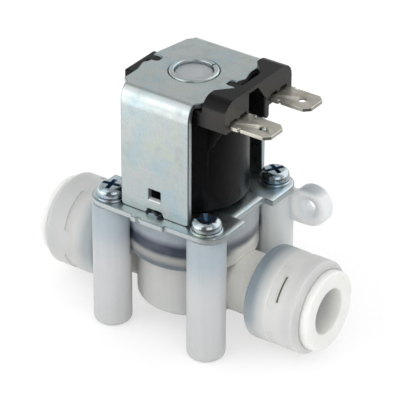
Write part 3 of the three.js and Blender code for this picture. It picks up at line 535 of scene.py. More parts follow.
def blackNylon(name):
    # moulded glass-filled nylon: fine spark texture, faint flow clouds, a few dusty scuffs, and painted light
    # on the terminal housing's upright faces
    looks = named(nylonLooks)
    finish = Finish(name, Specular_IOR_Level=looks.specular)
    grain = finish.noise(4200, 3, 0.6)
    flow = finish.noise(180, 3, 0.5, stretch=(1, 1, 0.35))
    scuff = finish.noise(900, 5, 0.7, stretch=(1, 1, 0.2))
    colour = finish.mix(finish.remap(flow, 0.35, 0.7), looks.deep, looks.pale)
    colour = finish.mix(finish.remap(scuff, 0.66, 0.8, 0, 0.2), colour, looks.scuff)
    x, y, z = finish.split()
    facingX, facingY, facingZ = finish.split(finish.node("ShaderNodeTexCoord").outputs["Normal"])
    wall = finish.remap(finish.size(facingZ), 0.6, 0.3)
    end = finish.times(finish.remap(finish.size(facingY), 0.9, 0.97),
                       finish.zone(finish.size(y), looks.endY, looks.endY + 0.2),
                       finish.zone(x, *looks.endX, smooth=True))
    front = finish.zone(x, looks.frontX, looks.frontX + 0.3)
    onBlock = finish.times(finish.maths("MAXIMUM", front, end), finish.zone(z, looks.foot, looks.foot + 0.2))
    # painted light: the housing's upright faces painted greyer than its top
    colour = finish.mix(finish.times(wall, onBlock, looks.uprightShare), colour, looks.upright)
    rough = finish.plus(finish.remap(flow, 0.3, 0.7, 0.22, 0.32), finish.remap(scuff, 0.6, 0.8, 0, 0.2))
    finish.paint(colour, rough)
    finish.bump((grain, 0.015, 0.3), (flow, 0.1, 0.12))
    return finish.material


def tinnedBrass(name):
    # drawn and stained tin, with the near blade lighter towards its root and a painted highlight along its
    # rolled edges
    finish = Finish(name, Metallic=1.0)
    lines = finish.noise(900, 4, 0.65, stretch=(0.12, 1, 1))
    stains = finish.noise(420, 4, 0.6)
    colour = finish.mix(finish.remap(stains, 0.4, 0.7), srgb(197, 195, 184), srgb(174, 169, 156))
    x, y, z = finish.split()
    # the near blade lighter towards its root
    lighterTowardsRoot = finish.times(finish.zone(y, 1, -1, 0, 0.6), finish.zone(x, 26.5, 20))
    colour = finish.mix(lighterTowardsRoot, colour, srgb(240, 237, 223))
    wall, rolled = sheetEdges(finish)
    # painted highlight: rolled edges painted lighter
    colour = finish.mix(finish.times(rolled, 0.6), colour, srgb(224, 222, 212))
    rough = finish.plus(finish.remap(lines, 0.3, 0.7, 0.26, 0.42), finish.remap(stains, 0.4, 0.7, 0, 0.08))
    finish.paint(colour, rough)
    finish.bump((lines, 0.02, 0.3), (stains, 0.04, 0.15))
    return finish.material


def whiteAcetal(name):
    finish = Finish(name, Subsurface_Weight=1.0, Subsurface_Radius=(1.0, 0.95, 0.85), Subsurface_Scale=3 * mm)
    clouds = finish.noise(260, 3, 0.5)
    finish.paint(finish.mix(finish.remap(clouds, 0.35, 0.65), srgb(243, 243, 239), srgb(237, 237, 232)),
                 finish.remap(clouds, 0.3, 0.7, 0.3, 0.4))
    finish.bump((finish.noise(3800, 2, 0.5), 0.01, 0.3))
    return finish.material


def darkRubber(name):
    finish = Finish(name)
    bloom = finish.noise(500, 4, 0.6)
    finish.paint(finish.mix(finish.remap(bloom, 0.4, 0.7), srgb(34, 37, 44), srgb(48, 51, 58)),
                 finish.remap(bloom, 0.3, 0.7, 0.6, 0.8))
    finish.bump((finish.noise(3000, 2, 0.6), 0.02, 0.4))
    return finish.material


def plainSteel(name):
    finish = Finish(name, Metallic=1.0)
    lines = finish.noise(700, 3, 0.6, stretch=(1, 1, 0.1))
    finish.paint(finish.mix(finish.remap(lines, 0.3, 0.7), srgb(186, 186, 188), srgb(168, 168, 172)),
                 finish.remap(lines, 0.3, 0.7, 0.22, 0.36))
    finish.bump((lines, 0.01, 0.3))
    return finish.material


def copperWire(name, pitch=0.35):
    # enamelled turns wound side by side, each turn painted lighter along its crown and darker where it meets
    # the next: painted shade
    finish = Finish(name, Metallic=1.0)
    x, y, z = finish.split()
    turns = finish.maths("SINE", finish.times(z, 2 * math.pi / (pitch * mm)))
    finish.paint(finish.mix(finish.remap(turns, -1, 1), srgb(120, 58, 34), srgb(196, 116, 74)),
                 finish.remap(finish.noise(600), 0.3, 0.7, 0.25, 0.4))
    finish.bump((turns, 0.1, 0.7))
    return finish.material


def milkySkin(finish, colour, perMetre, swell, streaks=None):
    # a moulded natural plastic's faint clouds, fine skin and slow swell
    clouds = finish.noise(perMetre, 3, 0.5)
    colour = finish.mix(finish.remap(clouds, 0.4, 0.75, 0, 0.12), colour, srgb(224, 224, 223))
    if streaks is not None:
        colour = finish.mix(streaks, colour, srgb(120, 124, 126))
    finish.paint(colour, finish.remap(clouds, 0.3, 0.7, 0.3, 0.42))
    finish.bump((finish.noise(3000, 2, 0.5), 0.01, 0.3), (finish.noise(240, 2, 0.5), *swell))
    return finish.material


zinc = zincPlating("zincStrip", srgb(188, 199, 198), 0.28)
# the screw heads' cross recesses painted dark blue-grey: painted shade
screwZinc = zincPlating("brightZinc", srgb(182, 194, 198), 0.16, 0.5, srgb(52, 82, 112))
nylon = blackNylon("blackNylon")
tinned = tinnedBrass("tinnedBrass")
acetal = whiteAcetal("whiteAcetal")
rubber = darkRubber("darkRubber")
steel = plainSteel("plainSteel")
copper = copperWire("copperWire")
print("finishes made")


# Moulded body

bodySizes = {
    "pitchX": 11.7, "pitchY": 12.1, "post": 4.0, "top": 28.0, "bowl": 13.4, "bowlInner": 12.0,
    "bowlFloor": 17.2, "cup": 11.55, "cupFloor": 5.2, "cupFillet": 1.3, "footFillet": 1.2, "cupInner": 9.6,
    "chamberFloor": 8.6, "rimSeat": 20.7, "seatOuter": 5.0, "seatBore": 3.3, "seatTop": 20.4,
    "seatBevel": 0.9, "screwHole": 1.57, "screwDepth": 10.5,
}
portSizes = {
    "axis": 11.75, "neck": 6.6, "neckEnd": 18.9, "waterway": 3.2, "duct": 4.5, "tube": 4.86,
    "tubeStop": 20.4, "socket": 8.15, "socketEnd": 26.7, "sealSeat": 22.6, "sealRadius": 6.5, "mouth": 25.2,
    "mouthRadius": 7.15, "grooveFrom": 19.8, "grooveTo": 22.1, "groove": 7.2, "inletStart": 6.15,
}
earSizes = {
    "x": 19.9, "z": 25.5, "radius": 4.25, "hole": 1.6, "recess": 2.6, "recessDepth": 0.4, "front": 11.9,
    "thick": 3.3, "plateEdge": 17.1, "webTop": 27.3, "rimFlare": 0.6, "floorFlare": 0.4,
}
bodyTone = {
    "skin": srgb(200, 201, 202), "guide": srgb(168, 173, 178),
    # the inside at each height, with painted shade under the step below the rim; towards the outlet the step
    # takes a lit tone, painted light
    "cup": srgb(196, 197, 194), "bowl": srgb(158, 166, 175), "band": srgb(36, 48, 70),
    "belowBand": srgb(158, 158, 155), "stepLine": srgb(92, 102, 110), "stepLit": srgb(186, 187, 183),
    # painted light over the inside towards the outlet
    "haze": srgb(200, 201, 198),
    "inside": ((0, "cup"), (16.2, "cup"), (17.3, "step"), (18.2, "step"), (19.2, "belowBand"),
               (19.9, "belowBand"), (20.8, "band"), (22.6, "band"), (24.1, "bowl"), (28, "bowl")),
    "sinkOutlet": 0.014, "sinkInlet": 0.03,  # the rim sits lower towards both ports, in shares of the height
    "bowlEdge": 13.45,  # past this radius the inside doesn't show through
    # a post at each height, cooler where the screw stands in it
    "post": ((0, srgb(198, 200, 199)), (14, srgb(200, 201, 203)), (16.5, srgb(198, 200, 202)),
             (18.5, srgb(193, 197, 200)), (20.5, srgb(184, 191, 196)), (23, srgb(173, 184, 191)),
             (28, srgb(166, 178, 186))),
    # painted light: the rear posts lighter, without the screws' tint
    "rearPost": srgb(220, 224, 224), "postReach": 4.2,
    # painted light: the neck and the bore lighter than the skin, where they sit in shade
    "neck": srgb(231, 231, 226), "socket": srgb(203, 204, 201), "bore": srgb(246, 244, 236),
    # painted light: the ear near white, with painted shade as darker rings at its recess and rim
    "ear": srgb(243, 244, 243), "earRing": srgb(226, 229, 231), "earReach": 4.3,
}


def clearBody(name):
    # natural polypropylene: milky, with the diaphragm's rim and the screws faintly showing through the walls
    b, p, e, tone = (named(sizes) for sizes in (bodySizes, portSizes, earSizes, bodyTone))
    finish = Finish(name, Subsurface_Weight=1.0, Subsurface_Radius=(1.0, 1.03, 1.08), Subsurface_Scale=5 * mm,
                    IOR=1.49)
    x, y, z = finish.split()
    along, across = finish.size(x), finish.size(y)
    height = finish.zone(z, 0, b.top)
    sunk = finish.plus(height, finish.zone(x, 3, 13, 0, tone.sinkOutlet))
    sunk = finish.plus(sunk, finish.zone(x, -5, -11, 0, tone.sinkInlet))

    def throughWall(step):
        stops = [(level, step if key == "step" else key) for level, key in tone.inside]
        return finish.ramp(sunk, [(level / b.top, bodyTone[key]) for level, key in stops])

    # painted shade under the step, turning to painted light towards the outlet
    inside = finish.mix(finish.zone(x, 6, 12, smooth=True), throughWall("stepLine"), throughWall("stepLit"))
    # painted light over the inside towards the outlet
    inside = finish.mix(finish.zone(x, 7, 12.5, 0, 0.2), inside, tone.haze)
    post = finish.ramp(height, [(level / b.top, shade) for level, shade in tone.post])
    # painted light on the rear posts
    post = finish.mix(finish.zone(y, -2, 2), post, tone.rearPost)
    fromPost = finish.length(finish.minus(along, b.pitchX * mm), finish.minus(across, b.pitchY * mm))
    upright = finish.mix(finish.zone(fromPost, tone.postReach * 1.02, tone.postReach), tone.skin, post)
    outside = finish.zone(finish.length(x, y), tone.bowlEdge, tone.bowlEdge + 0.7, smooth=True)
    colour = finish.mix(outside, inside, upright)

    # painted light on the neck and in the bore
    port = finish.mix(finish.zone(along, 18.5, 19.5), tone.neck, tone.socket)
    fromAxis = finish.length(y, finish.minus(z, p.axis * mm))
    port = finish.mix(finish.zone(fromAxis, p.groove + 0.1, p.groove), port, tone.bore)
    onPort = finish.times(finish.zone(along, 12, 13.5, smooth=True), finish.zone(z, 21.5, 20.5),
                          finish.zone(across, 8, 7.7))
    colour = finish.mix(onPort, colour, port)

    # painted light on the ear, with painted shade in rings at its recess and rim
    fromEar = finish.length(finish.minus(x, e.x * mm), finish.minus(z, e.z * mm))
    ring = finish.ramp(finish.zone(fromEar, 0, tone.earReach), [
        (0.3, tone.earRing), (0.58, tone.earRing), (0.68, tone.ear), (0.86, tone.ear), (1, tone.earRing)])
    onEar = finish.times(finish.zone(x, 15.7, 16), finish.zone(z, 20.8, 21))
    colour = finish.mix(onEar, colour, ring)
    colour = finish.mix(finish.zone(z, b.top + 0.5, b.top + 1.5), colour, tone.guide)
    streaks = finish.noise(900, 2, 0.5, stretch=(1, 1, 0.04))
    return milkySkin(finish, colour, 150, (0.12, 0.15), finish.remap(streaks, 0.45, 0.7, 0, 0.06))


bodyPlastic = clearBody("naturalPolypropylene")


def toPort(piece, side):
    # takes a piece made about the X axis up to the ports, and round to the inlet for side -1
    shifted(piece, 0, 0, portSizes["axis"])
    return turned(piece, 180, "z") if side < 0 else piece


def makeSocket(name):
    s = named(portSizes)
    inner = s.neck - 0.01  # just inside the neck, so that the two join
    neck = lathe(name, softLoop([(0, 0), (s.neck, 0), (s.neck, s.neckEnd), (0, s.neckEnd)]), "x")
    barrel = lathe(name + "Barrel", softLoop([
        (0, s.neckEnd - 1), (inner, s.neckEnd - 1), (inner, s.neckEnd),
        (s.socket, s.neckEnd, 0.3), (s.socket, s.grooveFrom, 0.1), (s.groove, s.grooveFrom),
        (s.groove, s.grooveTo), (s.socket, s.grooveTo, 0.1), (s.socket, s.socketEnd, 0.25),
        (0, s.socketEnd)]), "x")
    return join(neck, barrel)


def socketBore(name, start):
    s = named(portSizes)
    return lathe(name, softLoop([
        (0, start), (s.waterway, start), (s.waterway, s.tubeStop, 0.3), (s.tube, s.tubeStop),
        (s.tube, s.sealSeat, 0.2), (s.sealRadius, s.sealSeat), (s.sealRadius, s.mouth, 0.2),
        (s.mouthRadius, s.mouth), (s.mouthRadius, s.socketEnd + 1), (0, s.socketEnd + 1)]), "x", 64)


def makeBody():
    b, p, e = named(bodySizes), named(portSizes), named(earSizes)
    shell = lathe("valveShell", softLoop([
        (0, b.cupFloor), (b.cup, b.cupFloor, b.cupFillet), (b.cup, b.bowlFloor, 0.25),
        (b.bowl, b.bowlFloor, 0.5), (b.bowl, b.top), (0, b.top)], 6), steps=128)
    post = softLoop([(0, 0), (b.post, 0, b.footFillet), (b.post, b.top), (0, b.top)], 8)
    parts = [shifted(lathe("post", post, steps=72), sx * b.pitchX, sy * b.pitchY, 0)
             for sx, sy in fourCorners]
    outlet = makeSocket("outletSocket")
    inlet = twin(outlet, "inletSocket")
    parts += [toPort(outlet, 1), toPort(inlet, -1)]

    back, floor = e.front + e.thick, e.front + e.recessDepth
    centre = (e.x, 0, e.z)
    disc = lathe("ear", softLoop([
        (0, e.front), (e.radius, e.front, 0.7), (e.radius, back, 0.5), (0, back)], 6), "y", 96, centre)
    web = box("earWeb", (b.pitchX, e.front, e.z - e.radius), (e.x, back, e.webTop))
    join(disc, softEdges(web, 0.5, 35, 3))
    plateRoom = box("plateRoom", (0, e.front - 1, e.webTop), (e.plateEdge, back + 1, 60))
    rim = e.recess + e.rimFlare
    hole = softLoop([
        (0, 0), (rim, 0), (rim, e.front - 0.01, 0.02), (e.recess, e.front + 0.1, 0.1),
        (e.recess - e.floorFlare, floor, 0.4), (e.hole, floor, 0.25), (e.hole, 30), (0, 30)], 4)
    cut(disc, plateRoom, lathe("earHole", hole, "y", 64, centre))
    join(shell, *parts, disc)

    tools = [lathe("bowlRoom", [(0, b.rimSeat), (b.bowlInner, b.rimSeat), (b.bowlInner, 40), (0, 40)])]
    chamber = lathe("chamber", softLoop([
        (b.seatOuter, b.chamberFloor, 0.6), (b.cupInner, b.chamberFloor, 1.0), (b.cupInner, 22), (0, 22),
        (0, b.seatTop), (b.seatOuter - b.seatBevel, b.seatTop, 0.2),
        (b.seatOuter, b.seatTop - b.seatBevel, 0.3)]))
    duct = lathe("duct", [(0, 0), (p.duct, 0), (p.duct, b.cup), (0, b.cup)], "x", 64, (0, 0, p.axis))
    tools.append(cut(chamber, duct))
    tools.append(lathe("seatBore", [(0, b.chamberFloor), (b.seatBore, b.chamberFloor), (b.seatBore, 22),
                                    (0, 22)], steps=64))
    tools.append(toPort(socketBore("outletBore", 0), 1))
    tools.append(toPort(socketBore("inletBore", p.inletStart), -1))
    low = b.top - b.screwDepth
    bore = [(0, low), (b.screwHole, low), (b.screwHole, 30), (0, 30)]
    tools += [shifted(lathe("screwBore", bore, steps=32), sx * b.pitchX, sy * b.pitchY, 0)
              for sx, sy in fourCorners]
    cut(shell, *tools)
    return place(shell, bodyPlastic, "housing", "clear_body", "valve_body")


makeBody()
print("body made")


# Port caps and collets

capSizes = {
    "back": 18.9, "front": 31.6, "radius": 9.9, "frontRadius": 8.9, "chamfer": 1.2, "inner": 8.3,
    "lipBack": 28.0, "lipFront": 29.0, "lip": 6.4, "mouth": 8.5,
}
windowSizes = {
    "start": 24.35, "end": 26.2, "half": 4.65, "corner": 0.3, "depth": 0.2, "count": 4, "turn": 45,
    "slitStart": 26.2, "slitEnd": 26.65, "slitHalf": 2.8, "slitCount": 1, "slitTurn": 48, "blockFoot": 5.5,
    "blockTop": 11.5,
}
colletSizes = {
    "front": 33.3, "head": 8.485, "headBack": 30.3, "web": 1.0, "slitTurn": 9, "barrel": 6.1, "tip": 6.85,
    "tipX": 26.9, "tipLength": 0.8, "bore": 4.86, "toothFrom": 27.05, "toothTo": 27.75, "toothRadius": 5.75,
    "slit": 0.9,
}
capTone = {
    "start": 18.5, "end": 32.5,  # the tones below stand at shares of this length
    # painted light: the outlet cap painted lighter than the inlet cap
    "outlet": ((0, srgb(184, 190, 193)), (0.35, srgb(221, 222, 220)), (0.62, srgb(220, 221, 219)),
               (0.74, srgb(208, 209, 208)), (1, srgb(208, 209, 208))),
    "inlet": ((0, srgb(184, 190, 193)), (0.35, srgb(206, 207, 205)), (0.62, srgb(203, 204, 203)),
              (0.74, srgb(199, 200, 200)), (1, srgb(196, 197, 197))),
    "seal": ((0.02, srgb(178, 185, 189)), (0.07, srgb(128, 141, 150)), (0.17, srgb(130, 143, 151)),
             (0.27, srgb(188, 193, 195)), (0.36, srgb(210, 211, 209))),
    # painted bounce light on each cap's lower side, and painted shade in the slit
    "underside": srgb(236, 236, 234), "slit": srgb(150, 145, 125),
}


def clearCap(name):
    # the cap's wall over the socket: the seal shows as a cool band near its back edge, darkest above; the
    # outlet cap is painted lighter than the inlet, painted light; the lower side takes painted bounce light
    # and the slit painted shade
    finish = Finish(name, Subsurface_Weight=1.0, Subsurface_Radius=(1.0, 1.02, 1.05), Subsurface_Scale=3 * mm,
                    IOR=1.49)
    c, w, tone = named(capSizes), named(windowSizes), named(capTone)
    x, y, z = finish.split()
    along = finish.size(x)
    run = finish.zone(along, tone.start, tone.end)
    # painted light: outlet and inlet caps in different tones
    plain = finish.mix(finish.zone(x, -1, 1), finish.ramp(run, tone.inlet), finish.ramp(run, tone.outlet))
    depth = finish.times(finish.zone(z, 3.5, 14.5, 0.15, 1), finish.zone(along, 24, 23.6),
                         finish.zone(x, -1, 1, 0.45, 1))
    colour = finish.mix(depth, plain, finish.ramp(run, tone.seal))
    # painted bounce light, lighter towards the bottom
    colour = finish.mix(finish.zone(z, 10.5, 3.5, 0, 0.6), colour, tone.underside)
    fromAxis = finish.length(y, finish.minus(z, portSizes["axis"] * mm))
    floor = c.radius - w.depth
    # painted shade: the slit's walls painted dark olive
    slitShade = finish.times(finish.zone(along, w.slitStart - 0.02, w.slitStart),
                          finish.zone(along, w.slitEnd + 0.02, w.slitEnd),
                          finish.zone(fromAxis, floor + 0.05, floor))
    colour = finish.mix(slitShade, colour, tone.slit)
    return milkySkin(finish, colour, 170, (0.1, 0.12))


capPlastic = clearCap("capPolypropylene")


def radialBlocks(name, low, high, half, count, turn):
    # blocks that stand evenly round the tube axis, through the cap's wall
    w = named(windowSizes)
    r = min(w.corner, (high - low) / 3)
    loop = softLoop([(low, -half, r), (high, -half, r), (high, half, r), (low, half, r)])
    block = prism(name, loop, w.blockFoot, w.blockTop)
    return repeated(block, wheelCopies, Count=count, Turn=math.radians(turn), Finish=capPlastic)


def makeCap(name, side):
    c, w = named(capSizes), named(windowSizes)
    cap = lathe(name, softLoop([
        (c.inner, c.back, 0.15), (c.radius, c.back, 0.75), (c.radius, c.front - c.chamfer, 0.45),
        (c.frontRadius, c.front, 0.3), (c.mouth, c.front, 0.1), (c.mouth, c.lipFront, 0.2),
        (c.lip, c.lipFront, 0.2), (c.lip, c.lipBack, 0.2), (c.inner, c.lipBack, 0.2)], 5),
        "x", 128)
    floor, rim = c.radius - w.depth, c.radius + 1
    recess = lathe(name + "Recess", softLoop([
        (floor, w.start - 1), (rim, w.start - 1), (rim, w.end + 1), (floor, w.end + 1)]), "x", 128)
    windows = radialBlocks(name + "Window", w.start, w.end, w.half, w.count, w.turn)
    withTools(recess, [windows], "INTERSECT")
    cut(cap, recess, radialBlocks(name + "Slit", w.slitStart, w.slitEnd, w.slitHalf, w.slitCount, w.slitTurn))
    toPort(cap, side)
    return place(cap, capPlastic, "housing", "clear_cap", name.replace("Cap", "_cap"))


def makeCollet(name, side):
    c = named(colletSizes)
    tipEnd = c.tipX + c.tipLength
    collet = lathe(name, softLoop([
        (c.bore, c.tipX, 0.1), (c.tip - 0.5, c.tipX, 0.1), (c.tip, c.tipX + 0.4, 0.1), (c.tip, tipEnd, 0.1),
        (c.barrel, tipEnd, 0.15),
        (c.barrel, c.headBack, 0.2), (c.head, c.headBack, 0.25), (c.head, c.front, 0.5),
        (c.bore, c.front, 0.4), (c.bore, c.toothTo, 0.05), (c.toothRadius, c.toothTo),
        (c.toothRadius, c.toothFrom), (c.bore, c.toothFrom)], 5), "x", 128)
    half = c.slit / 2
    slit = box("slit", (c.tipX - 1, 0.5, -half), (c.headBack - c.web, 9, half))
    cut(collet, repeated(slit, wheelCopies, Count=4, Turn=math.radians(c.slitTurn), Finish=acetal))
    toPort(collet, side)
    node = name.replace("Collet", "_collet")
    return place(collet, acetal, node, "white_acetal", node)


for portName, side in (("outlet", 1), ("inlet", -1)):
    makeCap(portName + "Cap", side)
    makeCollet(portName + "Collet", side)
print("ports made")


# Guide tube and the rolled flux sleeve round it

guideSizes = {
    "radius": 3.9, "bore": 3.2, "top": 55.7, "roof": 54.6, "plate": 28.0, "flange": 11.85,
    "flangeFoot": 22.55, "chamber": 9.4, "chamberRoof": 25.2,
}
sleeveSizes = {"inner": 4.0, "outer": 5.1, "foot": 47.1, "top": 56.4, "seam": 0.35, "seamAngle": 62}


def makeGuideTube():
    g = named(guideSizes)
    tube = lathe("guideTube", softLoop([
        (0, g.top), (g.radius, g.top, 0.35), (g.radius, g.plate, 0.3), (g.flange, g.plate, 0.2),
        (g.flange, g.flangeFoot), (g.chamber, g.flangeFoot), (g.chamber, g.chamberRoof, 0.6),
        (g.bore, g.chamberRoof, 0.3), (g.bore, g.roof, 0.3), (0, g.roof)], 4))
    return place(tube, bodyPlastic, "housing", "clear_body", "guide_tube")


def makeSleeve():
    s = named(sleeveSizes)
    sleeve = lathe("upperFluxSleeve", softLoop([
        (s.inner, s.foot, 0.15), (s.outer, s.foot, 0.15), (s.outer, s.top, 0.5),
        (s.inner, s.top, 0.35)], 6), steps=128)
    half = s.seam / 2
    seam = turned(box("seam", (0, -half, s.foot - 1), (7, half, s.top + 1)), s.seamAngle, "z")
    cut(sleeve, seam)
    return place(sleeve, zinc, "housing", "zinc_plate", "upper_flux_sleeve")


makeGuideTube()
makeSleeve()
print("guide tube and sleeve made")


# Yoke: one blank, bent twice over a form

yokeSizes = {
    "thick": 1.2, "half": 8.2, "outerY": 13.5, "top": 56.1, "foot": 29.2, "bendOut": 2.0, "bendDown": 4.0,
    "edge": 0.2, "crown": 10.7, "flatY": 2.0, "shoulder": 9.1, "shoulderY": 10.3, "bulge": 10.4,
    "bulgeY": 3.0, "waist": 9.55, "waistY": 5.9, "keySide": 9.7, "footCorner": 0.9, "slotHalf": 1.4,
    "slotLow": 32.5, "slotHigh": 34.9, "notchHigh": 1.1, "notchTop": 1.6, "notchFoot": 2.2, "key": 1.1,
    "keyInner": 8.2, "keyFlare": 0.9, "hole": 5.2, "bendSteps": 16,
}


def makeYoke():
    y = named(yokeSizes)
    out, drop = y.bendOut - y.thick / 2, y.bendDown - y.thick / 2
    flat = y.outerY - y.bendOut
    curved = math.pi / 2 * math.sqrt((out * out + drop * drop) / 2)
    straight = y.top - y.bendDown - y.foot
    end = flat + curved + straight

    def down(z):  # developed distance of a height on the leg
        return flat + curved + (y.top - y.bendDown - z)

    k = y.key
    leg = [(y.half, end, y.footCorner), (y.half, y.shoulderY + 1.0, 0.4)]
    plain = [*leg, (y.shoulder, y.shoulderY, 0.4), (y.crown, y.flatY, 1.6), (y.crown, k, 0.3)]
    waisted = [*leg, (y.waist, y.shoulderY, 0.4), (y.waist, y.waistY, 1.0), (y.bulge, y.bulgeY, 0.6),
               (y.keySide, k + 0.5, 0.3), (y.keySide, k, 0.2)]
    keySlot = [(y.keyInner + y.keyFlare, k, 0.3), (y.keyInner, k * 0.75, 0.5), (y.keyInner, -k * 0.75, 0.5),
               (y.keyInner + y.keyFlare, -k, 0.3)]
    notch = [(-y.notchFoot, 0, 0.2), (-y.notchTop, y.notchHigh, 0.2), (y.notchTop, y.notchHigh, 0.2),
             (y.notchFoot, 0, 0.2)]
    right = waisted + keySlot + [(x, -v, r) for x, v, r in plain[::-1]]
    outline = right + [(-x, v - end, r) for x, v, r in notch]
    outline += [(-x, -v, r) for x, v, r in right] + [(x, end - v, r) for x, v, r in notch]
    loops = [softLoop(outline, 4)]
    for sign in (-1, 1):
        low, high, h = down(y.slotLow) * sign, down(y.slotHigh) * sign, y.slotHalf
        loops.append(softLoop([(-h, low, 0.12), (h, low, 0.12), (h, high, 0.12), (-h, high, 0.12)], 3))
    loops.append(arc(0, 0, y.hole, 0, 360, 96)[:-1])
    blank = sheet("yokeStrap", loops, y.thick, y.edge)

    bm = bmesh.new()
    bm.from_mesh(blank.data)
    for sign in (-1, 1):
        for i in range(y.bendSteps + 1):
            station = sign * (flat + curved * i / y.bendSteps)
            everything = bm.verts[:] + bm.edges[:] + bm.faces[:]
            bmesh.ops.bisect_plane(bm, geom=everything, plane_co=(0, station, 0), plane_no=(0, 1, 0),
                                   dist=1e-5)
    bendFoot = y.top - y.bendDown
    for vert in bm.verts:
        across, run, height = vert.co
        sign = 1 if run > 0 else -1
        run = abs(run)
        if run <= flat:
            spot = (run, y.top - y.thick / 2 + height)
        elif run <= flat + curved:
            angle = (run - flat) / curved * math.pi / 2
            normal = Vector((drop * math.sin(angle), out * math.cos(angle))).normalized() * height
            spot = (flat + out * math.sin(angle) + normal.x, bendFoot + drop * math.cos(angle) + normal.y)
        else:
            spot = (flat + out + height, bendFoot - (run - flat - curved))
        vert.co = (across, sign * spot[0], spot[1])
    shear = bm.faces.layers.float["shear"]
    bm.normal_update()
    # painted light: cut walls that face up, and the rolled sill under each slot, take the lit tone
    for face in bm.faces:
        centre = face.calc_center_median()
        onSill = abs(centre.x) < y.slotHalf + y.edge and abs(centre.z - y.slotLow) < 2 * y.edge
        isCut = face[shear] == shearOf["wall"] or (onSill and face[shear] > shearOf["flat"])
        if isCut and face.normal.z > (0.2 if onSill else 0.7):
            face[shear] = shearOf["lit"]
    bm.to_mesh(blank.data)
    bm.free()
    return place(blank, zinc, "housing", "zinc_plate", "yoke")


makeYoke()
print("yoke made")


# Base plate with its side notches, sheared lips and turned-up tongues

plateSizes = {
    "foot": 28.0, "thick": 1.2, "halfX": 16.2, "halfY": 15.7, "corner": 4.6,
    "notch": 2.4, "notchHalf": 4.8, "lip": 4.0, "reach": 0.7, "nick": 0.55, "nickX": -2.1, "edge": 0.16,
    "tongue": 1.2, "tongueStretch": 1.36, "rise": 0.85, "tongueFrom": 12.3, "tongueTo": 14.4, "hole": 5.2,
    "screwHole": 1.7, "roll": 1.6, "pull": 0.36, "rollAtSides": 0.12,
}


def plateRoll(finish):
    # how far the shears have pulled the top face down, from 0 inside to 1 at the outline; the near and far
    # sides are less rolled than the two ends
    p = named(plateSizes)
    x, y, z = finish.split()
    along, across = finish.size(x), finish.size(y)
    pastX = finish.minus(along, (p.halfX - p.corner) * mm)
    pastY = finish.minus(across, (p.halfY - p.corner) * mm)
    outside = finish.length(finish.maths("MAXIMUM", pastX, 0.0), finish.maths("MAXIMUM", pastY, 0.0))
    inside = finish.maths("MINIMUM", finish.maths("MAXIMUM", pastX, pastY), 0.0)
    depth = finish.minus(finish.plus(outside, inside), p.corner * mm)
    atEnd = finish.zone(finish.minus(pastX, pastY), -1.2, 0.6, p.rollAtSides, 1)
    ends = finish.times(finish.zone(depth, -p.roll, 0), atEnd)
    notch = finish.minus(finish.minus(along, (p.halfX - p.notch) * mm),
                         finish.zone(across, p.notchHalf, p.notchHalf + 0.1))
    near = finish.maths("MAXIMUM", ends, finish.zone(notch, -p.roll, 0))
    return finish.times(finish.times(near, near), -1.0), p.pull, 1.0


plateZinc = zincPlating("zincSheet", srgb(196, 208, 208), 0.3, 0.7, roll=plateRoll)


def makePlate():
    p, b = named(plateSizes), named(bodySizes)
    x, y, c, r = p.halfX, p.halfY, p.notchHalf, p.corner
    lipY = y + p.reach

    def nick(sign, start):
        rim = arc(-sign * p.nickX, sign * lipY, p.nick, start, start - 180, 6)
        return [(*point, 0) for point in rim]

    outline = [
        (x, -c, 0.3), (x - p.notch, -c, 0.4), (x - p.notch, c, 0.4), (x, c, 0.3), (x, y, r),
        (p.lip, y, 0.25), (p.lip, lipY, 0.3), *nick(1, 0), (-p.lip, lipY, 0.3), (-p.lip, y, 0.25), (-x, y, r),
        (-x, c, 0.3), (-x + p.notch, c, 0.4), (-x + p.notch, -c, 0.4), (-x, -c, 0.3), (-x, -y, r),
        (-p.lip, -y, 0.25), (-p.lip, -lipY, 0.3), *nick(-1, 180), (p.lip, -lipY, 0.3), (p.lip, -y, 0.25),
        (x, -y, r),
    ]
    loops = [softLoop(outline, 8), arc(0, 0, p.hole, 0, 360, 96)[:-1]]
    loops += [arc(sx * b.pitchX, sy * b.pitchY, p.screwHole, 0, 360, 32)[:-1] for sx, sy in fourCorners]
    plate = shifted(sheet("basePlate", loops, p.thick, p.edge), 0, 0, p.foot + p.thick / 2)
    top = p.foot + p.thick
    crest = [(across * p.tongueStretch, high) for across, high in arc(0, top, p.rise, 180, 0, 12)]
    profile = [(-p.tongue, top - 0.5), *crest, (p.tongue, top - 0.5)]
    for low, high in ((-p.tongueTo, -p.tongueFrom), (p.tongueFrom, p.tongueTo)):
        tongue = softEdges(prism("tongue", profile, low, high, "y"), 0.12)
        for face in tongue.data.attributes.new("shear", "FLOAT", "FACE").data:
            face.value = shearOf["rolled"]  # painted dark like a rolled edge's painted reflection
        join(plate, tongue)
    return place(plate, plateZinc, "housing", "zinc_plate", "base_plate")


makePlate()
print("base plate made")


# Coil cover with its terminal housing

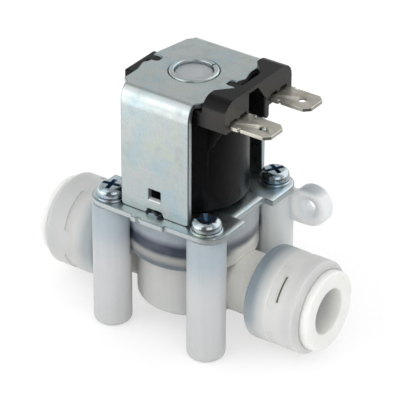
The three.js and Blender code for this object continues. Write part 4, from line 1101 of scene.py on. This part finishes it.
coverSizes = {
    "radius": 11.3, "foot": 30.0, "top": 54.8, "wall": 1.4, "bore": 6.2, "end": 1.2, "footEdge": 0.5,
    "topEdge": 0.4, "flangeFoot": 51.6, "tabX": 13.5, "tabHalf": 5.0, "tabTop": 54.4, "tabThick": 2.5,
    "coreGap": 0.7, "keyTip": 11.15, "keyNeck": 8.8, "keyRoot": 8.35, "keyHalf": 0.95, "keyRootHalf": 0.5,
    "keyFoot": 54.3, "keyTop": 55.8,
}
housingSizes = {
    "front": 15.5, "half": 11.6, "top": 58.05, "end": 3.0, "backX": 10.0, "innerY": 7.4, "barX": 13.4,
    "barY": 3.6, "gapNear": -3.5, "gapFar": 2.4, "gapRoof": 0.8, "barrier": 1.2, "barrierDrop": 2.6,
    "braceY": 2.7, "braceZ": 3.6, "edge": 0.22, "fin": 0.9, "finFoot": 42.0, "finX": 13.6, "finRoot": 7.6,
    "bendRoom": 0.9, "slit": 0.45, "rib": 1.1, "pocket": 0.55,
}
bladeSizes = {  # the blades' pockets in the cover take theirs from here too
    "y": 7.02, "z": 52.75, "root": 2.7, "rootX": 13.0, "half": 3.15, "shoulder": 3.35, "faceX": 15.65,
    "tabX": 18.0, "tip": 24.5, "notch": 0.4, "notchDepth": 0.35, "chamfer": 1.2, "hole": 0.8, "holeX": 21.1,
    "dimple": 1.3, "dimpleDepth": 0.22, "thick": 0.8, "edge": 0.1, "pocketPlay": 0.15,
}


def makeCover():
    c, h, b = named(coverSizes), named(housingSizes), named(bladeSizes)
    hollow = c.radius - c.wall
    cover = lathe("coilCover", softLoop([
        (c.bore, c.foot, 0.2), (c.radius, c.foot, c.footEdge), (c.radius, c.top, c.topEdge),
        (c.bore, c.top, 0.2), (c.bore, c.top - c.end), (hollow, c.top - c.end), (hollow, c.foot + c.end),
        (c.bore, c.foot + c.end)], 4), steps=144)
    inWall = c.radius - c.coreGap
    core = lathe("core", [(0, 20), (inWall, 20), (inWall, 60), (0, 60)], steps=96)

    foot, drop = c.flangeFoot, c.flangeFoot - h.barrierDrop
    roof = h.top - h.gapRoof
    nearBarrier, farBarrier = h.gapNear - h.barrier, h.gapFar + h.barrier
    front = softLoop([
        (-h.half, foot, 0.3), (nearBarrier, foot, 0.2), (nearBarrier, drop, 0.5), (h.gapNear, drop, 0.5),
        (h.gapNear, roof, 0.35), (h.gapFar - h.braceY, roof, 0.4), (h.gapFar, roof - h.braceZ, 0.4),
        (h.gapFar, drop, 0.55), (farBarrier, drop, 0.55), (farBarrier, foot, 0.2), (h.half, foot, 0.3),
        (h.half, h.top, h.end), (-h.half, h.top, h.end)], 6)
    face = prism("terminalHousing", front, 0, h.front, "x")
    plan = softLoop([
        (h.backX, -h.half - 1), (17, -h.half - 1), (17, h.half + 1), (h.backX, h.half + 1),
        (h.backX, h.innerY, 0.6), (h.barX, h.barY, 0.5), (h.barX, -h.barY, 0.5), (h.backX, -h.innerY, 0.6)])
    room, clear = h.bendRoom, yokeSizes["half"] + 0.15
    shoulders = softLoop([
        (-h.half, drop), (h.half, drop), (h.half, c.top - room, 0.5), (h.half - room, c.top, 0.5),
        (room - h.half, c.top, 0.5), (-h.half, c.top - room, 0.5)])
    keep = join(prism("housingPlan", plan, c.top, h.top + 1),
                box("housingFlange", (clear, -h.half, drop), (h.front, h.half, c.top)),
                prism("housingShoulders", shoulders, 0, clear, "x"))
    withTools(face, [keep], "INTERSECT")
    cut(face, twin(core, "coreA"))
    softEdges(face, h.edge, 30, 3)
    join(cover, face)

    for sign in (-1, 1):
        y = sign * b.y
        web = [(h.finRoot, h.finFoot), (h.finX, foot + 0.2), (h.finRoot, foot + 0.2)]
        fin = prism("fin", web, y - h.fin / 2, y + h.fin / 2, "y")
        softEdges(fin, 0.15)
        join(cover, cut(fin, twin(core, "coreFin")))
    tab = box("tab", (-c.tabX, -c.tabHalf, c.tabTop - c.tabThick), (-8.6, c.tabHalf, c.tabTop))
    softEdges(tab, 0.4, 35, 3)
    join(cover, cut(tab, core))
    key = softLoop([
        (c.keyTip, -c.keyHalf, 0.15), (c.keyTip, c.keyHalf, 0.15), (c.keyNeck, c.keyHalf, 0.4),
        (c.keyRoot, c.keyRootHalf, 0.3), (c.keyRoot, -c.keyRootHalf, 0.3), (c.keyNeck, -c.keyHalf, 0.4)])
    for turn in (180, 0):
        join(cover, turned(softEdges(prism("key", key, c.keyFoot, c.keyTop), 0.12), turn, "z"))
    for sign in (-1, 1):
        y, half, rib = sign * b.y, b.root + b.pocketPlay, h.rib / 2
        back, low, high = b.rootX - b.pocketPlay, b.z - h.pocket, b.z + h.pocket
        pocket = box("pocket", (back, y - half, low), (17, y + half, high))
        for near, far in ((-half, -rib), (rib, half)):
            join(pocket, box("slit", (back, y + near, low), (17, y + far, high + h.slit)))
        cut(cover, pocket)
    return place(cover, nylon, "housing", "black_plastic", "coil_cover")


makeCover()
print("coil cover made")


# Blade terminals

def makeBlade(name, sign, node):
    b = named(bladeSizes)
    waist = b.half - b.notchDepth
    farSide = [
        (b.rootX, b.root, 0), (b.faceX, b.root, 0.15), (b.faceX, b.shoulder, 0.2),
        (b.tabX - b.notch, b.shoulder, 0.15), (b.tabX - b.notch, waist, 0.12), (b.tabX, waist, 0.12),
        (b.tabX, b.half, 0.12),
        (b.tip - b.chamfer, b.half, 0.3), (b.tip, b.half - b.chamfer, 0.3)]
    outline = softLoop([(x, -y, r) for x, y, r in farSide] + farSide[::-1], 3)
    blade = sheet(name, [outline, arc(b.holeX, 0, b.hole, 0, 360, 40)[:-1]], b.thick, b.edge)
    for side in (-1, 1):
        level = side * b.thick / 2
        floor, rim = level - side * b.dimpleDepth, level + side * 0.02
        cone = [(0, floor), (b.hole + 0.05, floor), (b.dimple, rim), (0, rim)]
        cut(blade, lathe("dimple", cone, "z", 40, (b.holeX, 0, 0)))
    shifted(blade, 0, sign * b.y, b.z)
    return place(blade, tinned, "housing", "tinned_blade", node)


makeBlade("nearTerminal", -1, "near_terminal")
makeBlade("farTerminal", 1, "far_terminal")
print("terminals made")


# Screws and washers

screwSizes = {
    "plateTop": 29.2, "washer": 3.3, "washerThick": 0.55, "washerHole": 1.65, "head": 3.0,
    "headHeight": 2.2, "dome": 1.4, "shank": 1.45, "length": 10.0, "crossHalf": 1.9, "crossWidth": 0.95,
    "crossDepth": 1.3, "crossTaper": 0.55, "flare": 0.35, "turn": 10,
    "turnStep": 17,
}


def screwForm():
    # one pan-head cross screw at the middle
    s = named(screwSizes)
    seat = s.plateTop + s.washerThick
    top = seat + s.headHeight
    tip = s.plateTop - s.length
    dome = arc(s.head - s.dome, top - s.dome, s.dome, 0, 90, 10)
    screw = lathe("cornerScrews", softLoop([
        (0, tip), (s.shank - 0.5, tip, 0.2), (s.shank, tip + 1.0, 0.2), (s.shank, seat, 0.15),
        (s.head - 0.25, seat, 0.1), (s.head, seat + 0.25, 0.1), *dome, (0, top)], 5), steps=64)
    half, depth, flare = s.crossHalf, s.crossDepth, s.flare
    for quarter in (0, 90):
        taper = [(-half - flare, top + 0.3), (-half * s.crossTaper, top - depth),
                 (half * s.crossTaper, top - depth), (half + flare, top + 0.3)]
        wing = prism("wing", taper, -s.crossWidth / 2, s.crossWidth / 2, "y")
        cut(screw, turned(wing, quarter, "z"))
    bm = bmesh.new()
    bm.from_mesh(screw.data)
    recess = bm.faces.layers.float.new("recess")
    for face in bm.faces:
        spot = face.calc_center_median()
        face[recess] = 1.0 if spot.xy.length < half and top - depth - 0.1 < spot.z < top - 0.12 else 0.0
    bm.to_mesh(screw.data)
    bm.free()
    return screw


def washerForm():
    s = named(screwSizes)
    high = s.plateTop + s.washerThick
    return lathe("cornerWashers", softLoop([
        (s.washerHole, s.plateTop, 0.1), (s.washer, s.plateTop, 0.18), (s.washer, high, 0.22),
        (s.washerHole, high, 0.1)], 4), steps=64)


screwPlaces = [f"{side}_{port}" for side in ("near", "far") for port in ("outlet", "inlet")]
for form, kind in ((screwForm, "screw"), (washerForm, "washer")):
    fasteners = repeated(form(), cornerCopies, SizeX=2 * bodySizes["pitchX"], SizeY=2 * bodySizes["pitchY"],
                         Turn=math.radians(screwSizes["turn"]), TurnStep=math.radians(screwSizes["turnStep"]),
                         Finish=screwZinc)
    place(fasteners, screwZinc, "housing", "screw_steel", *[f"{spot}_{kind}" for spot in screwPlaces])
print("screws made")


# The solids that stay as they are, dressed

innerFinish = {
    "diaphragm": rubber, "diaphragm_insert": acetal,
    "plunger": steel, "plunger_seal": rubber, "plunger_spring": steel,
    "coil_bobbin": nylon, "coil_winding": copper, "lower_flux_sleeve": zinc,
    "inlet_cap_seal": rubber, "outlet_cap_seal": rubber,
    "inlet_tube_seal": rubber, "outlet_tube_seal": rubber,
    "inlet_grip_ring": steel, "outlet_grip_ring": steel,
}
for node, material in innerFinish.items():
    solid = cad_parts[node]
    solid.data.materials.clear()
    solid.data.materials.append(material)
print("inner pieces dressed")


# Floor, light and camera

stageSizes = {
    "floor": 1200, "below": 0.1, "white": 0.9, "mirrorWhite": 0.78, "mirrorLift": 0.17, "seenWhite": 0.5,
    "seenLift": 0.56,
    # what metal and gloss see of the floor: a level direction, where its tone changes, and its share there
    "floorZones": (
        ((0.77, -0.64), 30, 85, 0.07),  # dark towards the viewer
        ((-0.573, -0.819), 112, 155, 2.4),  # bright under the long softbox
        ((0.573, 0.819), 30, 80, 0.75),  # dimmer on the side away from it
    ),
    "ambient": 0.85, "horizon": 1.0, "zenith": 0.53, "darkWay": (0.573, -0.819), "roomDark": 0.2,
    "panelFoot": 1.8, "panelTop": 0.7, "backPanel": 1.5,
}
lampSizes = {
    "keySoftbox": {"spot": (-400, -620, 480), "size": (800, 1200), "watts": 1.85},
    "sideSoftbox": {"spot": (660, -420, 380), "size": (600, 600), "watts": 1.4},
}
cameraSizes = {
    "azimuth": 34.994, "elevation": 30.559, "roll": -0.2874, "lens": 253.47, "distance": 570.45,
    "right": 1.2996, "down": 2.4806, "aimZ": 29.2, "sensor": 36,
}
lampAim = Vector((0, 0, 0.03))


def grey(level):
    return (level,) * 3


def mirroredRays(nodes):
    rays = nodes.node("ShaderNodeLightPath").outputs
    return nodes.maths("MAXIMUM", rays["Is Glossy Ray"], rays["Is Transmission Ray"]), rays["Is Camera Ray"]


def makeFloor():
    t = named(stageSizes)
    half = t.floor * mm / 2
    mesh = bpy.data.meshes.new("floor")
    rim = [(-half, -half, 0), (half, -half, 0), (half, half, 0), (-half, half, 0)]
    mesh.from_pydata(rim, [], [(0, 1, 2, 3)])
    floor = bpy.data.objects.new("floor", mesh)
    bpy.context.scene.collection.objects.link(floor)
    floor.location.z = -t.below * mm
    finish = Finish("floorWhite", Roughness=0.9, Specular_IOR_Level=0.0)
    mirrored, seen = mirroredRays(finish)
    room = finish.times(*[finish.zone(finish.along(way), low, high, 1, share, smooth=True)
                          for way, low, high, share in t.floorZones])
    paint = finish.mix(mirrored, grey(t.white), finish.times(room, t.mirrorWhite))
    finish.paint(finish.mix(seen, paint, grey(t.seenWhite)))
    glow = finish.node("ShaderNodeEmission")
    lift = finish.plus(finish.times(seen, t.seenLift), finish.times(mirrored, t.mirrorLift, room))
    finish.link(lift, glow.inputs["Strength"])
    both = finish.node("ShaderNodeAddShader")
    finish.link(finish.shader.outputs[0], both.inputs[0])
    finish.link(glow.outputs[0], both.inputs[1])
    finish.link(both.outputs[0], finish.tree.nodes["Material Output"].inputs["Surface"])
    mesh.materials.append(finish.material)


def makeWorld():
    # metal and gloss see a bright room with one long softbox up to the left, darker towards the viewer
    t = named(stageSizes)
    world = bpy.data.worlds.new("studio")
    world.use_nodes = True
    bpy.context.scene.world = world
    sky = Nodes(world.node_tree, "Generated")
    x, y, z = sky.split()
    mirrored, seen = mirroredRays(sky)
    tent = sky.times(sky.remap(z, 0, 0.7, t.horizon, t.zenith),
                     sky.remap(sky.along(t.darkWay), 0.3, 0.75, 1, t.roomDark, smooth=True))
    panel = sky.times(sky.remap(x, -0.05, -0.2), sky.remap(x, -0.95, -0.85),
                      sky.remap(y, -0.3, -0.8, smooth=True), sky.remap(z, -0.08, 0.0))
    strength = sky.mix(panel, tent, sky.remap(z, 0.05, 0.45, t.panelFoot, t.panelTop))
    back = sky.times(sky.remap(x, -0.25, -0.05), sky.remap(y, 0.25, 0.45))
    strength = sky.mix(back, strength, grey(t.backPanel))
    strength = sky.mix(mirrored, grey(t.ambient), strength)
    strength = sky.mix(seen, strength, grey(1.0))
    background = sky.tree.nodes["Background"]
    sky.link(strength, background.inputs["Strength"])
    background.inputs["Color"].default_value = (1, 1, 1, 1)


def makeLamp(name, spot, size, watts):
    lamp = bpy.data.lights.new(name, "AREA")
    lamp.shape = "RECTANGLE"
    lamp.size, lamp.size_y = (side * mm for side in size)
    lamp.energy = watts
    holder = bpy.data.objects.new(name, lamp)
    bpy.context.scene.collection.objects.link(holder)
    holder.location = [value * mm for value in spot]
    holder.rotation_euler = (lampAim - holder.location).to_track_quat("-Z", "Y").to_euler()


def makeCamera():
    c = cameraSizes
    azimuth, elevation, roll = (math.radians(c[key]) for key in ("azimuth", "elevation", "roll"))
    level = Vector((math.cos(azimuth), math.sin(azimuth), 0))
    forward = Vector((-math.sin(azimuth) * math.cos(elevation), math.cos(azimuth) * math.cos(elevation),
                      -math.sin(elevation)))
    down = forward.cross(level)
    spot = -forward * c["distance"] + level * c["right"] + down * c["down"] + Vector((0, 0, c["aimZ"]))
    right = level * math.cos(roll) + down * math.sin(roll)
    up = level * math.sin(roll) - down * math.cos(roll)
    lens = bpy.data.cameras.new("camera")
    lens.sensor_width = c["sensor"]
    lens.lens = c["lens"]
    lens.clip_start, lens.clip_end = 0.01, 20
    camera = bpy.data.objects.new("camera", lens)
    bpy.context.scene.collection.objects.link(camera)
    camera.matrix_world = Matrix.Translation(spot * mm) @ Matrix((right, up, -forward)).transposed().to_4x4()
    bpy.context.scene.camera = camera


makeFloor()
makeWorld()
for name, sizes in lampSizes.items():
    makeLamp(name, **sizes)
makeCamera()
bpy.context.scene.view_settings.view_transform = "Standard"
print("stage made")
